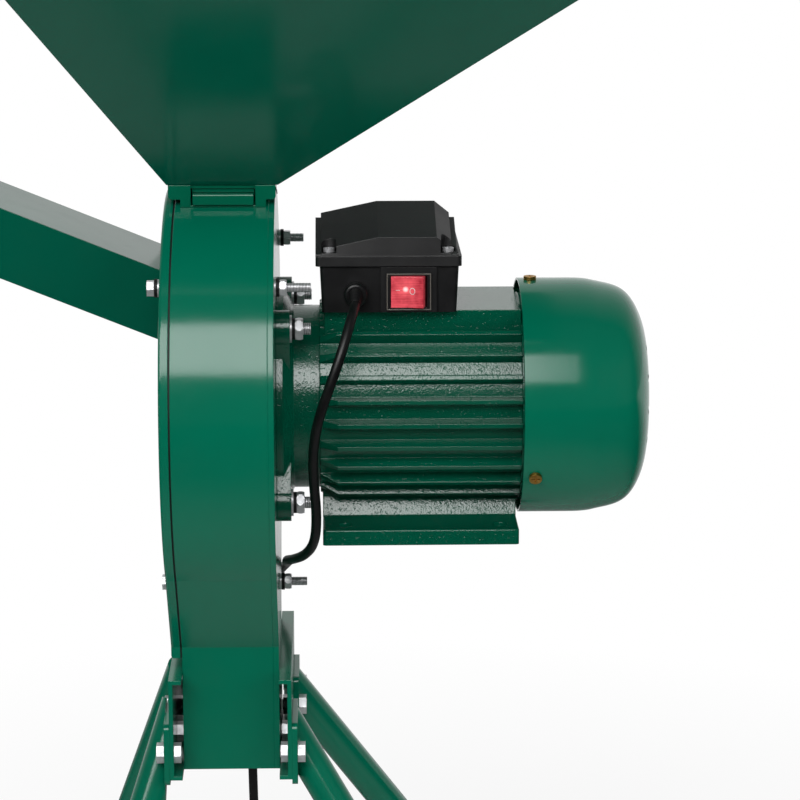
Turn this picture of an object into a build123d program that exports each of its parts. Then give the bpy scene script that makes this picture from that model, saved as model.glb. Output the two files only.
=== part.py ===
from build123d import *
from math import asin, cos, degrees, pi, radians, sin, sqrt, tan
import os

# Electric grain mill: a hammer mill drum with hopper and gate, a flanged motor, and a four-legged stand.
# Millimetres, +Z up. X runs along the motor shaft, towards the fan. -Y is the side with the switch.
# The origin is on the floor under the middle of the machine.
# Distances "along" are measured on the shaft from the motor face of the rear plate, heights from the shaft.

# ---------------------------------------------------------------- driving dimensions
axis_height = 550.0       # shaft above the floor
slip_gap = 0.05           # radial gap of a running or slip fit
seat_gap = 0.3            # gap where loose pieces face each other

# Mill drum
drum_radius = 150.0
drum_wall = 2.5
drum_length = 65.0
plate_thickness = 4.0     # rear plate
cover_depth = 6.6
cover_wall = 2.5
gasket_thickness = 1.2
gasket_width = 5.0
funnel_half = 106.5       # half width where the outlet's funnel leaves the round
neck_half = 58.0          # half width of the neck below the funnel
neck_rise = 8.0           # start of the neck above the cover's lower edge
chute_drop = 262.0        # outlet below the shaft
skirt_drop = 178.0        # lower edge of the cover below the shaft

# Inlets
passage_length = 37.0     # grain passage along the shaft
passage_width = 70.0      # grain passage across
throat_wall = 3.0
throat_drop = 110.0       # lower end of the throat above the shaft
gate_centre = -35.5       # along
guide_length = 74.4
guide_centre = -36.3      # along
guide_half_width = 42.0
guide_wall = 2.5
guide_top = 159.5
tab_height = 10.0         # full-width part of the guide's front
saddle_length = 59.2      # narrower lower part of the guide
slot_width = 44.6         # opening in the guide for the gate's lip
gate_thickness = 2.0
gate_width = 41.8
gate_level = 151.7        # underside of the gate
gate_lip_drop = 7.8
guide_corner = 2.5
screw_half_along, screw_half_across = 29.0, 30.0    # hopper screws from the gate's centre
hopper_wall = 1.5
hopper_base_length = 77.0
hopper_base_half = 41.0
hopper_rise = 150.0       # height of the sloping part
hopper_lean_front = 0.65  # outward slope of the wall over the cover
hopper_lean_rear = 1.40   # outward slope of the wall over the motor
hopper_lean_side = 1.0
hopper_rim = 50.0
hopper_hem = 8.0
feed_half_width = 45.0
feed_sill = 52.0          # lower edge of the feed opening above the shaft
feed_height = 46.0
feed_wall = 2.0
feed_reach = 130.0
feed_angle = 22.0

# Rotor
shaft_radius = 12.0
shaft_thread_radius = 8.0
beater_radius = 108.0
beater_width = 30.0
beater_thickness = 6.0
hub_radius = 24.0
hub_length = 26.0
key_size = 6.0
screen_radius = 118.0
screen_wall = 1.5
screen_hole = 6.0

# Fasteners: shank radius, key width, head or nut height
m6_radius, m6_key, m6_height = 3.0, 10.0, 5.0
m8_radius, m8_key, m8_height = 4.0, 14.0, 5.5
bolt_circle = 139.0       # radius of the cover bolts
bolt_angles = (45, 135, 270)
cover_bolt_ends = (25.0, 18.5, 20.0)      # along
lug_circle = 88.0         # radius of the motor flange bolts
lug_angles = (45, 135, 225, 315)
lug_bolt_end = 24.5
washer_thickness = 1.5
spring_washer_thickness = 2.2

# Motor
frame_bore = 62.0
frame_radius = 68.0
rib_radius = 76.0
rib_count = 28
rib_root = 6.6
rib_tip = 3.2
rib_offset = -3.5         # angle of the first rib from the switch side
rib_ramp = 14.0
frame_start, frame_end = 30.5, 171.5      # along
shield_radius = 65.5
shield_flange = 5.0
flange_radius = 78.0
lug_thickness = 10.0
lug_radius = 13.0
lug_root = 22.0           # half width of a lug where it leaves the end shield
stator_bore = 35.0
stator_start, stator_end = 56.0, 146.0    # along
winding_length = 20.0
rotor_radius = 34.6
front_bearing_at, front_bearing_width, front_bearing_radius = 12.0, 15.0, 26.0
rear_bearing_at, rear_bearing_width, rear_bearing_radius = 176.0, 14.0, 23.5
front_journal, rear_journal = 12.5, 10.0
fan_at, fan_width, fan_radius, fan_hub, fan_bore = 206.0, 30.0, 70.0, 16.0, 8.5
cowl_radius = 84.2
cowl_wall = 1.5
cowl_start, cowl_bend, cowl_end = 172.0, 208.0, 262.0
cowl_dome = ((4.2, 22.2), (15.1, 8.0), (32.5, 2.4))      # set back from the end, drop from the radius
cowl_screw_at = 180.5
cowl_screw_angles = (-30, 90, 210)
foot_start, foot_length = 32.0, 137.5
foot_half = 76.0
foot_drop = 90.0
foot_thickness = 11.0
foot_inner = 27.0         # half gap between the two feet
foot_web = ((24.0, 55.0), (29.0, 58.0), (31.0, 67.0), (37.0, 79.0))   # outer side: half width, drop
foot_corner, foot_edge = 2.5, 1.2
foot_hole_at, foot_hole_pitch = 47.5, 109.0
foot_hole_half = 62.5
foot_hole_radius = 5.0

# Terminal box
pad_height = 71.0         # top of the motor's pad above the shaft
pad_half = 43.0
pad_root = 48.0           # underside of the pad above the shaft
box_start, box_length = 30.9, 96.6
box_half = 51.0
box_depth = 33.0
box_taper = 2.6
box_wall = 2.5
lid_start, lid_length = 28.0, 101.4
lid_half = 53.0
lid_skirt = 7.0
lid_rise = 37.4           # ridge above the box
lid_crown = 17.3          # rise of the sloping top from its front edge to its ridge
lid_flat = (43.2, 84.0)   # level stretch of the ridge, from the lid's end
lid_fall = 8.4            # drop of the ridge towards the ends
lid_shoulder = 3.3        # step at each end
shoulder_length = 3.8
lid_ledge = 3.2           # skirt left free at the fan's end
lid_draft = 1.0           # lean of the hood's sides
lid_wall = 2.2
lid_screw_inset = 9.3
lid_pocket = 5.2          # radius of the pockets of the lid's screws
switch_at, switch_level = 92.6, 86.2
bezel_length, bezel_height, bezel_thickness = 31.0, 26.0, 1.8
window_length, window_height = 25.4, 22.6
switch_depth = 18.0
pivot_depth = 7.0
rocker_tilt = 7.5
gland_at, gland_level, gland_radius = 55.8, 85.0, 8.3
gland_reach = 10.0

# Stand
channel_top = 187.5       # below the shaft
channel_depth = 9.0
channel_wall = 3.0
channel_half = 80.0
leg_radius = 12.5
leg_wall = 1.5
leg_plate = 4.0
leg_plate_width, leg_plate_height = 60.0, 46.0
leg_half_top = 50.0
leg_half_floor = 175.0
leg_drop_top = 244.0      # where a leg meets its plate, below the shaft
front_leg_reach = 100.0   # how far a front foot stands out from its channel
rear_leg_reach = 192.0
leg_bolt_pitch = 44.0
foot_radius = 20.0
foot_height = 24.0
foot_sole = 9.0

# Mains lead
cord_diameter = 7.0
coil_turn_radius = 38.5   # middle of the turns
coil_turns = 3.5
tie_width = 8.0
tie_wall = 1.2
plug_radius = 17.0
plug_length = 42.0
clip_run = 18             # run of the lead that the clip holds
clip_width = 10.0
clip_wall = 2.0

os.makedirs("parts", exist_ok=True)

# ---------------------------------------------------------------- places worked out from the sizes
cover_inner = -plate_thickness - drum_length - gasket_thickness
cover_face = cover_inner - cover_depth
feed_mouth = cover_face - feed_reach
plate_x = -(feed_mouth + cowl_end) / 2        # puts the origin midway between feed mouth and cowl
drum_front = -plate_thickness - drum_length
cord_radius = cord_diameter / 2
funnel_top = sqrt(drum_radius**2 - funnel_half**2)       # where the funnel leaves the round
neck_drop = skirt_drop - neck_rise

profile = Plane(origin=(plate_x, 0, axis_height), x_dir=(1, 0, 0), z_dir=(0, -1, 0))
shaft_axis = Axis((plate_x, 0, axis_height), (1, 0, 0))


def section(along):
    """Plane across the shaft; its local coordinates are (Y, height above the shaft)."""
    return Plane(origin=(plate_x + along, 0, axis_height), x_dir=(0, 1, 0), z_dir=(1, 0, 0))


def level(height):
    """Horizontal plane; its local coordinates are (along, Y)."""
    return Plane(origin=(plate_x, 0, axis_height + height))


def turn(*corners, arc=360.0, mode=Mode.ADD):
    """Solid of revolution about the shaft from (along, radius) corners."""
    with BuildSketch(profile) as outline:
        with BuildLine():
            Polyline(*corners, close=True)
        make_face()
    revolve(outline.sketch, axis=shaft_axis, revolution_arc=arc, mode=mode)


def ring(start, end, outer, inner, mode=Mode.ADD):
    """Plain ring about the shaft."""
    turn((start, inner), (end, inner), (end, outer), (start, outer), mode=mode)


def bars(start, end, radius, spots, sides=0, mode=Mode.ADD):
    """Round or six-sided bars parallel to the shaft, at (Y, height) spots."""
    with BuildSketch(section(start)) as ends:
        with Locations(*spots):
            if sides:
                RegularPolygon(radius, sides)
            else:
                Circle(radius)
    extrude(ends.sketch, amount=end - start, mode=mode)


def slab(along, across, height, mode=Mode.ADD):
    """Box between two (low, high) bounds in each direction, measured from the shaft and the rear plate."""
    with BuildSketch(level(height[0])) as base:
        with Locations(((along[0] + along[1]) / 2, (across[0] + across[1]) / 2)):
            Rectangle(along[1] - along[0], across[1] - across[0])
    extrude(base.sketch, amount=height[1] - height[0], mode=mode)


def spread(radius, angles):
    """(Y, height) spots on a circle round the shaft; angle 0 points to the switch side."""
    return [(-radius * cos(radians(a)), radius * sin(radians(a))) for a in angles]


def hexagon(key_width):
    """Corner radius of a hexagon of that key width."""
    return key_width / sqrt(3)


def keyhole(start, end, shrink=0.0, low=chute_drop, mode=Mode.ADD):
    """Prism with the mill's outline: the round drum, the funnel below it and the neck of the outlet."""
    top, neck = funnel_half - shrink, neck_half - shrink
    with BuildSketch(section(start)) as outline:
        Circle(drum_radius - shrink)
        with BuildLine():
            Polyline((-top, -funnel_top), (top, -funnel_top), (neck, -neck_drop), (neck, -low),
                     (-neck, -low), (-neck, -neck_drop), close=True)
        make_face()
    extrude(outline.sketch, amount=end - start, mode=mode)


cover_spots = spread(bolt_circle, bolt_angles)
lug_spots = spread(lug_circle, lug_angles)

# ---------------------------------------------------------------- mill drum
throat_half_length = passage_length / 2 + throat_wall
throat_half_width = passage_width / 2 + throat_wall
throat_along = (gate_centre - throat_half_length, gate_centre + throat_half_length)
throat_across = (-throat_half_width, throat_half_width)

with BuildPart() as drum:
    keyhole(drum_front, -plate_thickness)
    keyhole(drum_front, -plate_thickness, shrink=drum_wall, low=chute_drop + 1, mode=Mode.SUBTRACT)
    slab((drum_front, drum_front + drum_wall), (-neck_half, neck_half), (-chute_drop, -skirt_drop))
    slab((throat_along[0] - seat_gap, throat_along[1] + seat_gap),
         (throat_across[0] - seat_gap, throat_across[1] + seat_gap), (100, drum_radius + 1), mode=Mode.SUBTRACT)
drum.part.label = "mill_drum"
export_step(drum.part, "parts/mill_drum.step")

shaft_hole = 16.0
with BuildPart() as rear_plate:
    keyhole(-plate_thickness, 0)
    bars(-plate_thickness, 0, shaft_hole, [(0, 0)], mode=Mode.SUBTRACT)
    bars(-plate_thickness, 0, m6_radius + seat_gap, cover_spots, mode=Mode.SUBTRACT)
    bars(-plate_thickness, 0, m8_radius + seat_gap, lug_spots, mode=Mode.SUBTRACT)
rear_plate.part.label = "rear_plate"
export_step(rear_plate.part, "parts/rear_plate.step")

with BuildPart() as gasket:
    keyhole(cover_inner, drum_front, shrink=0.5, low=skirt_drop)
    keyhole(cover_inner, drum_front, shrink=gasket_width, low=skirt_drop - gasket_width, mode=Mode.SUBTRACT)
gasket.part.label = "cover_gasket"
export_step(gasket.part, "parts/cover_gasket.step")

feed_along = (cover_face - 1, cover_inner)
with BuildPart() as cover:
    keyhole(cover_face, cover_inner, low=skirt_drop)
    fillet(cover.faces().sort_by(Axis.X)[0].edges(), 2.0)
    keyhole(cover_face + cover_wall, cover_inner, shrink=cover_wall, low=skirt_drop - cover_wall,
            mode=Mode.SUBTRACT)
    bars(cover_face, cover_inner, m6_radius + seat_gap, cover_spots, mode=Mode.SUBTRACT)
    slab(feed_along, (-feed_half_width, feed_half_width), (feed_sill, feed_sill + feed_height),
         mode=Mode.SUBTRACT)
cover.part.label = "front_cover"
export_step(cover.part, "parts/front_cover.step")



def feed_prism(grow, start, half):
    """Slanted prism of the feed chute, from the cover out to its mouth."""
    low, high = feed_sill - grow, feed_sill + feed_height + grow
    run = start - feed_mouth
    rise = run * tan(radians(feed_angle))
    with BuildSketch(profile) as side:
        with BuildLine():
            Polyline((start, low), (start, high), (feed_mouth, high + rise), (feed_mouth, low + rise), close=True)
        make_face()
    return extrude(side.sketch, amount=half, both=True, mode=Mode.PRIVATE)


with BuildPart() as feed_chute:
    add(feed_prism(feed_wall, cover_face, feed_half_width + feed_wall))
    add(feed_prism(0, cover_face, feed_half_width), mode=Mode.SUBTRACT)
feed_chute.part.label = "feed_chute"
export_step(feed_chute.part, "parts/feed_chute.step")

# Perforated screen, open at the top for the throat
screen_gap = degrees(asin((throat_half_width + seat_gap) / (screen_radius - screen_wall)))
screen_length = -plate_thickness - (cover_face + cover_wall)
hole_pitch = 2 * screen_hole
hole_rows = int(screen_length / hole_pitch)
hole_columns = int((2 * pi * screen_radius * (360 - 2 * screen_gap) / 360) / (1.5 * hole_pitch)) - 1

screen_middle = -plate_thickness - screen_length / 2
hole_step = (360 - 2 * screen_gap) / (hole_columns + 1)
with BuildPart() as screen_holes:
    for column in range(hole_columns):
        angle = radians(90 + screen_gap + hole_step * (column + 1))
        outward = (0, cos(angle), sin(angle))
        with BuildSketch(Plane(origin=(plate_x + screen_middle, 0, axis_height), x_dir=(1, 0, 0), z_dir=outward)):
            with GridLocations(hole_pitch, hole_pitch, hole_rows, 1):
                Circle(screen_hole / 2)
        extrude(amount=screen_radius + 1, clean=False)
    ring(-plate_thickness - screen_length, -plate_thickness, screen_radius - 4, 0, mode=Mode.SUBTRACT)

with BuildPart() as screen:
    ring(-plate_thickness - screen_length, -plate_thickness, screen_radius, screen_radius - screen_wall)
    opening_half = (screen_radius - screen_wall) * sin(radians(screen_gap))
    slab((cover_face, 0), (-opening_half, opening_half), (0, drum_radius), mode=Mode.SUBTRACT)
    add(screen_holes.part, mode=Mode.SUBTRACT)
screen.part.label = "sieve_screen"
export_step(screen.part, "parts/sieve_screen.step")

# Cover bolts run through the drum to nuts behind the rear plate, with the same washers at both ends
head_seat = cover_face - washer_thickness - spring_washer_thickness
with BuildPart() as cover_bolts:
    for spot, bolt_end in zip(cover_spots, cover_bolt_ends):
        bars(head_seat, bolt_end, m6_radius, [spot])
    bars(head_seat - m6_height, head_seat, hexagon(m6_key), cover_spots, sides=6)
cover_bolts.part.label = "cover_bolts"
export_step(cover_bolts.part, "parts/cover_bolts.step")


def stack(spots, start, shank, washer_outer, spring_outer, key_width, nut_height):
    """Washers, spring washers and nuts of a bolt group, as three parts."""
    first = (start, start + washer_thickness)
    second = (first[1], first[1] + spring_washer_thickness)
    third = (second[1], second[1] + nut_height)
    pieces = []
    for (low, high), outer, sides in ((first, washer_outer, 0), (second, spring_outer, 0),
                                      (third, hexagon(key_width), 6)):
        with BuildPart() as piece:
            bars(low, high, outer, spots, sides=sides)
            if sides:
                chamfer(piece.edges().filter_by(GeomType.LINE).filter_by(Axis.X, reverse=True), 0.5)
            bars(low, high, shank + slip_gap, spots, mode=Mode.SUBTRACT)
        pieces.append(piece.part)
    return pieces


washer_outer, spring_outer = 6.0, 6.3
plain_washers, rubber_washers, nuts = stack(cover_spots, 0, m6_radius, washer_outer, spring_outer,
                                            m6_key, m6_height)
with BuildPart() as cover_washers:
    add(plain_washers)
    bars(cover_face - washer_thickness, cover_face, washer_outer, cover_spots)
    bars(cover_face - washer_thickness, cover_face, m6_radius + slip_gap, cover_spots, mode=Mode.SUBTRACT)
cover_washers.part.label = "cover_washers"
export_step(cover_washers.part, "parts/cover_washers.step")

with BuildPart() as cover_spring_washers:
    add(rubber_washers)
    bars(head_seat, cover_face - washer_thickness, spring_outer, cover_spots)
    bars(head_seat, cover_face - washer_thickness, m6_radius + slip_gap, cover_spots, mode=Mode.SUBTRACT)
cover_spring_washers.part.label = "cover_spring_washers"
export_step(cover_spring_washers.part, "parts/cover_spring_washers.step")

nuts.label = "cover_nuts"
export_step(nuts, "parts/cover_nuts.step")

# ---------------------------------------------------------------- gate guide, gate and hopper
guide_along = (guide_centre - guide_length / 2, guide_centre + guide_length / 2)
saddle_along = (gate_centre - saddle_length / 2, gate_centre + saddle_length / 2)
tab_bottom = guide_top - tab_height
slot_along = (gate_centre - slot_width / 2, gate_centre + slot_width / 2)
saddle_foot = sqrt(drum_radius**2 - guide_half_width**2) - 2
gate_slot = (gate_level - 0.2, gate_level + gate_thickness + 0.2)
screw_spots = [(gate_centre + a * screw_half_along, b * screw_half_across) for a in (-1, 1) for b in (-1, 1)]

with BuildPart() as guide:
    slab(guide_along, (-guide_half_width, guide_half_width), (tab_bottom, guide_top))
    fillet(guide.edges().filter_by(Axis.Y).group_by(Axis.Z)[0], guide_corner)
    slab(saddle_along, (-guide_half_width, guide_half_width), (saddle_foot, tab_bottom))
    slab((guide_along[0] + guide_wall, guide_along[1] - guide_wall),
         (-guide_half_width + guide_wall, guide_half_width - guide_wall),
         (tab_bottom, guide_top - guide_wall), mode=Mode.SUBTRACT)
    slab((saddle_along[0] + guide_wall, saddle_along[1] - guide_wall),
         (-guide_half_width + guide_wall, guide_half_width - guide_wall),
         (saddle_foot, tab_bottom), mode=Mode.SUBTRACT)
    bars(guide_along[0] - 1, guide_along[1] + 1, drum_radius + slip_gap, [(0, 0)], mode=Mode.SUBTRACT)
    slab(throat_along, throat_across, (throat_drop, guide_top))
    passage_along = (gate_centre - passage_length / 2, gate_centre + passage_length / 2)
    passage_across = (-passage_width / 2, passage_width / 2)
    slab(passage_along, passage_across, (throat_drop, guide_top), mode=Mode.SUBTRACT)
    slab((gate_centre - gate_width / 2 - slip_gap, gate_centre + gate_width / 2 + slip_gap),
         (-guide_half_width, passage_width / 2), gate_slot, mode=Mode.SUBTRACT)
    slab(slot_along, (-guide_half_width, -guide_half_width + guide_wall),
         (gate_level + gate_thickness - gate_lip_drop - 0.5, guide_top), mode=Mode.SUBTRACT)
    with BuildSketch(level(guide_top - guide_wall)):
        with Locations(*screw_spots):
            Circle(m6_radius + seat_gap)
    extrude(amount=guide_wall, mode=Mode.SUBTRACT)
guide.part.label = "gate_guide"
export_step(guide.part, "parts/gate_guide.step")

gate_tip = passage_width / 2 - seat_gap
lip_top = gate_level + gate_thickness
lip_front = -guide_half_width - gate_thickness
with BuildPart() as gate:
    with BuildSketch(Plane(origin=(plate_x + gate_centre, 0, axis_height), x_dir=(0, 1, 0), z_dir=(1, 0, 0))):
        with BuildLine():
            Polyline((gate_tip, gate_level), (gate_tip, lip_top), (lip_front, lip_top),
                     (lip_front, lip_top - gate_lip_drop),
                     (lip_front + gate_thickness, lip_top - gate_lip_drop),
                     (lip_front + gate_thickness, gate_level), close=True)
        make_face()
    extrude(amount=gate_width / 2, both=True)
    fillet(gate.edges().filter_by(Axis.X).group_by(Axis.Y)[0].sort_by(Axis.Z)[-1], 1.6)
gate.part.label = "slide_gate"
export_step(gate.part, "parts/slide_gate.step")

hopper_along = (guide_centre + 0.3 - hopper_base_length / 2, guide_centre + 0.3 + hopper_base_length / 2)
hopper_base = guide_top
hopper_shoulder = hopper_base + hopper_rise


def hopper_cone(inset):
    """Sloping part of the hopper as a closed solid, drawn in by the wall's thickness."""
    low = hopper_base + inset
    with BuildSketch(level(low)) as bottom:
        with Locations(((hopper_along[0] + hopper_along[1]) / 2, 0)):
            Rectangle(hopper_base_length - 2 * inset, 2 * (hopper_base_half - inset))
    top_along = (hopper_along[0] - hopper_lean_front * hopper_rise + inset,
                 hopper_along[1] + hopper_lean_rear * hopper_rise - inset)
    with BuildSketch(level(hopper_shoulder)) as top:
        with Locations((sum(top_along) / 2, 0)):
            Rectangle(top_along[1] - top_along[0],
                      2 * (hopper_base_half + hopper_lean_side * hopper_rise - inset))
    return loft([bottom.sketch.face(), top.sketch.face()], mode=Mode.PRIVATE)


rim_along = (hopper_along[0] - hopper_lean_front * hopper_rise, hopper_along[1] + hopper_lean_rear * hopper_rise)
rim_half = hopper_base_half + hopper_lean_side * hopper_rise
with BuildPart() as hopper:
    add(hopper_cone(0))
    slab(rim_along, (-rim_half, rim_half), (hopper_shoulder, hopper_shoulder + hopper_rim))
    slab((rim_along[0] - hopper_hem, rim_along[1] + hopper_hem), (-rim_half - hopper_hem, rim_half + hopper_hem),
         (hopper_shoulder + hopper_rim - hopper_wall, hopper_shoulder + hopper_rim))
    add(hopper_cone(hopper_wall), mode=Mode.SUBTRACT)
    slab((rim_along[0] + hopper_wall, rim_along[1] - hopper_wall),
         (-rim_half + hopper_wall, rim_half - hopper_wall),
         (hopper_shoulder, hopper_shoulder + hopper_rim), mode=Mode.SUBTRACT)
    slab(passage_along, passage_across, (hopper_base, hopper_base + hopper_wall), mode=Mode.SUBTRACT)
    with BuildSketch(level(hopper_base)):
        with Locations(*screw_spots):
            Circle(m6_radius + seat_gap)
    extrude(amount=hopper_wall, mode=Mode.SUBTRACT)
hopper.part.label = "hopper"
export_step(hopper.part, "parts/hopper.step")

with BuildPart() as hopper_screws:
    with BuildSketch(level(guide_top - guide_wall)):
        with Locations(*screw_spots):
            Circle(m6_radius)
    extrude(amount=guide_wall + hopper_wall)
    with BuildSketch(level(hopper_base + hopper_wall)):
        with Locations(*screw_spots):
            Circle(2 * m6_radius)
    extrude(amount=0.6 * m6_height)
hopper_screws.part.label = "hopper_screws"
export_step(hopper_screws.part, "parts/hopper_screws.step")

# ---------------------------------------------------------------- beater rotor
hub_end = -plate_thickness - 5.0
hub_start = hub_end - hub_length
blades_start = hub_start - 2 * beater_thickness
nut_height = 12.0
nut_start = blades_start - 2.5 - nut_height
shaft_nose = nut_start - 4.0
fan_end = fan_at + fan_width

with BuildPart() as shaft:
    turn((shaft_nose, 0), (shaft_nose, shaft_thread_radius), (blades_start, shaft_thread_radius),
         (blades_start, shaft_radius), (front_bearing_at, shaft_radius), (front_bearing_at, front_journal),
         (front_bearing_at + front_bearing_width, front_journal),
         (front_bearing_at + front_bearing_width, 14.5), (stator_start, 14.5), (stator_end, 14.5),
         (rear_bearing_at, 14.5), (rear_bearing_at, rear_journal),
         (rear_bearing_at + rear_bearing_width, rear_journal),
         (rear_bearing_at + rear_bearing_width, fan_bore), (fan_end + 4, fan_bore), (fan_end + 4, 0))
    slab((hub_start, hub_end), (-key_size / 2, key_size / 2), (shaft_radius - key_size / 2, shaft_radius + 1),
         mode=Mode.SUBTRACT)
shaft.part.label = "motor_shaft"
export_step(shaft.part, "parts/motor_shaft.step")

with BuildPart() as hub:
    ring(hub_start, hub_end, hub_radius, shaft_radius + slip_gap)
    ring(hub_start, hub_start + 8, hub_radius + 14, shaft_radius + slip_gap)
    slab((hub_start, hub_end), (-key_size / 2 - slip_gap, key_size / 2 + slip_gap),
         (shaft_radius - 1, shaft_radius + key_size / 2 + slip_gap), mode=Mode.SUBTRACT)
hub.part.label = "beater_hub"
export_step(hub.part, "parts/beater_hub.step")

with BuildPart() as key:
    slab((hub_start, hub_end), (-key_size / 2, key_size / 2),
         (shaft_radius - key_size / 2, shaft_radius + key_size / 2))
key.part.label = "hub_key"
export_step(key.part, "parts/hub_key.step")

with BuildPart() as blades:
    for count, angle in enumerate((0, 90)):
        start = blades_start + count * beater_thickness
        with BuildSketch(section(start)):
            Rectangle(2 * beater_radius, beater_width, rotation=angle)
            Circle(shaft_radius + slip_gap, mode=Mode.SUBTRACT)
        extrude(amount=beater_thickness)
    chamfer(blades.edges().filter_by(Axis.X), 4.0)
blades.part.label = "beater_blades"
export_step(blades.part, "parts/beater_blades.step")

with BuildPart() as hub_washer:
    ring(nut_start + nut_height, blades_start, hub_radius, shaft_thread_radius + slip_gap)
hub_washer.part.label = "hub_washer"
export_step(hub_washer.part, "parts/hub_washer.step")

with BuildPart() as hub_nut:
    bars(nut_start, nut_start + nut_height, hexagon(24.0), [(0, 0)], sides=6)
    bars(nut_start, nut_start + nut_height, shaft_thread_radius + slip_gap, [(0, 0)], mode=Mode.SUBTRACT)
hub_nut.part.label = "hub_nut"
export_step(hub_nut.part, "parts/hub_nut.step")

# ---------------------------------------------------------------- motor
with BuildPart() as motor_frame:
    turn((frame_start, 0), (frame_start, frame_radius + 1), (frame_start + rib_ramp, rib_radius + 1),
         (frame_end, rib_radius + 1), (frame_end, 0))
    with BuildSketch(section(frame_start)):
        Circle(frame_radius)
        with PolarLocations(0, rib_count, start_angle=180 - rib_offset):
            Polygon((frame_radius - 2, -rib_root / 2), (rib_radius, -rib_tip / 2),
                    (rib_radius, rib_tip / 2), (frame_radius - 2, rib_root / 2), align=None)
    extrude(amount=frame_end - frame_start, mode=Mode.INTERSECT)
    slab((box_start, frame_end), (-box_half, box_half), (pad_height, rib_radius + 2), mode=Mode.SUBTRACT)
    slab((box_start + 3, frame_end), (-pad_half, pad_half), (pad_root, pad_height))
    with BuildSketch(level(-foot_drop)):
        with Locations((foot_start + foot_length / 2, 0)):
            with GridLocations(0, foot_half + foot_inner, 1, 2):
                RectangleRounded(foot_length, foot_half - foot_inner, foot_corner)
    extrude(amount=foot_thickness)
    foot_top = axis_height - foot_drop + foot_thickness
    fillet(motor_frame.edges().filter_by_position(Axis.Z, foot_top - 0.1, foot_top + 0.1), foot_edge)
    for side in (-1, 1):
        with BuildSketch(section(foot_start)):
            with BuildLine():
                Polyline(*[(side * half, -drop) for half, drop in foot_web],
                         (side * foot_web[-1][0], -foot_drop), (side * foot_inner, -foot_drop), close=True)
            make_face()
        extrude(amount=foot_length)
    bars(frame_start, frame_end, frame_bore, [(0, 0)], mode=Mode.SUBTRACT)
    with BuildSketch(level(-foot_drop)):
        with Locations((foot_hole_at + foot_hole_pitch / 2, 0)):
            with GridLocations(foot_hole_pitch, 2 * foot_hole_half, 2, 2):
                Circle(foot_hole_radius)
    extrude(amount=foot_thickness, mode=Mode.SUBTRACT)
motor_frame.part.label = "motor_frame"
export_step(motor_frame.part, "parts/motor_frame.step")

spigot_radius = frame_bore - slip_gap
with BuildPart() as front_shield:
    turn((0, shaft_hole + 2), (0, flange_radius), (shield_flange, flange_radius),
         (lug_thickness + 2, shield_radius),
         (frame_start, shield_radius), (frame_start, spigot_radius), (frame_start + 6, spigot_radius),
         (frame_start + 6, 56), (14, 56), (14, 34), (front_bearing_at + front_bearing_width + 2, 34),
         (front_bearing_at + front_bearing_width + 2, front_bearing_radius + slip_gap),
         (front_bearing_at, front_bearing_radius + slip_gap), (front_bearing_at, shaft_hole + 2))
    with BuildSketch(section(0)):
        with PolarLocations(0, len(lug_angles), start_angle=lug_angles[0]):
            Polygon((shield_radius - 4, -lug_root), (lug_circle, -lug_radius), (lug_circle, lug_radius),
                    (shield_radius - 4, lug_root), align=None)
        with Locations(*lug_spots):
            Circle(lug_radius)
    extrude(amount=lug_thickness)
    bars(0, lug_thickness, m8_radius + seat_gap, lug_spots, mode=Mode.SUBTRACT)
front_shield.part.label = "front_endshield"
export_step(front_shield.part, "parts/front_endshield.step")

boss_radius = cowl_radius - cowl_wall - slip_gap
cowl_screw_length = 12.0
with BuildPart() as rear_shield:
    turn((frame_end - 6, 56), (frame_end - 6, spigot_radius), (frame_end, spigot_radius), (frame_end, 74),
         (rear_bearing_at + 6, 74), (rear_bearing_at + 10, 60), (rear_bearing_at + 10, 32),
         (rear_bearing_at + rear_bearing_width + 2, 30), (rear_bearing_at + rear_bearing_width + 2, shaft_hole),
         (rear_bearing_at + rear_bearing_width, shaft_hole),
         (rear_bearing_at + rear_bearing_width, rear_bearing_radius + slip_gap),
         (rear_bearing_at, rear_bearing_radius + slip_gap), (rear_bearing_at, 28), (rear_bearing_at - 2, 30),
         (rear_bearing_at - 2, 56))
    for angle in cowl_screw_angles:
        out = (0, -cos(radians(angle)), sin(radians(angle)))
        root = Plane(origin=(plate_x + cowl_screw_at, 0, axis_height), x_dir=(1, 0, 0), z_dir=out)
        with BuildSketch(root.offset(62)):
            Circle(6.5)
        extrude(amount=boss_radius + 2 - 62)
    ring(frame_start, cowl_end, boss_radius + 4, boss_radius, mode=Mode.SUBTRACT)
    for angle in cowl_screw_angles:
        out = (0, -cos(radians(angle)), sin(radians(angle)))
        root = Plane(origin=(plate_x + cowl_screw_at, 0, axis_height), x_dir=(1, 0, 0), z_dir=out)
        with BuildSketch(root.offset(cowl_radius - cowl_screw_length)):
            Circle(2.5 + slip_gap)
        extrude(amount=cowl_screw_length, mode=Mode.SUBTRACT)
rear_shield.part.label = "rear_endshield"
export_step(rear_shield.part, "parts/rear_endshield.step")

with BuildPart() as flange_bolts:
    bars(-plate_thickness, lug_bolt_end, m8_radius, lug_spots)
    bars(-plate_thickness - m8_height, -plate_thickness, hexagon(m8_key), lug_spots, sides=6)
flange_bolts.part.label = "flange_bolts"
export_step(flange_bolts.part, "parts/flange_bolts.step")

flange_stack = stack(lug_spots, lug_thickness, m8_radius, 9.5, 7.5, m8_key, m8_height)
for piece, name in zip(flange_stack, ("flange_washers", "flange_spring_washers", "flange_nuts")):
    piece.label = name
    export_step(piece, f"parts/{name}.step")

with BuildPart() as stator:
    ring(stator_start, stator_end, frame_bore - slip_gap, stator_bore)
stator.part.label = "stator_core"
export_step(stator.part, "parts/stator_core.step")

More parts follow.
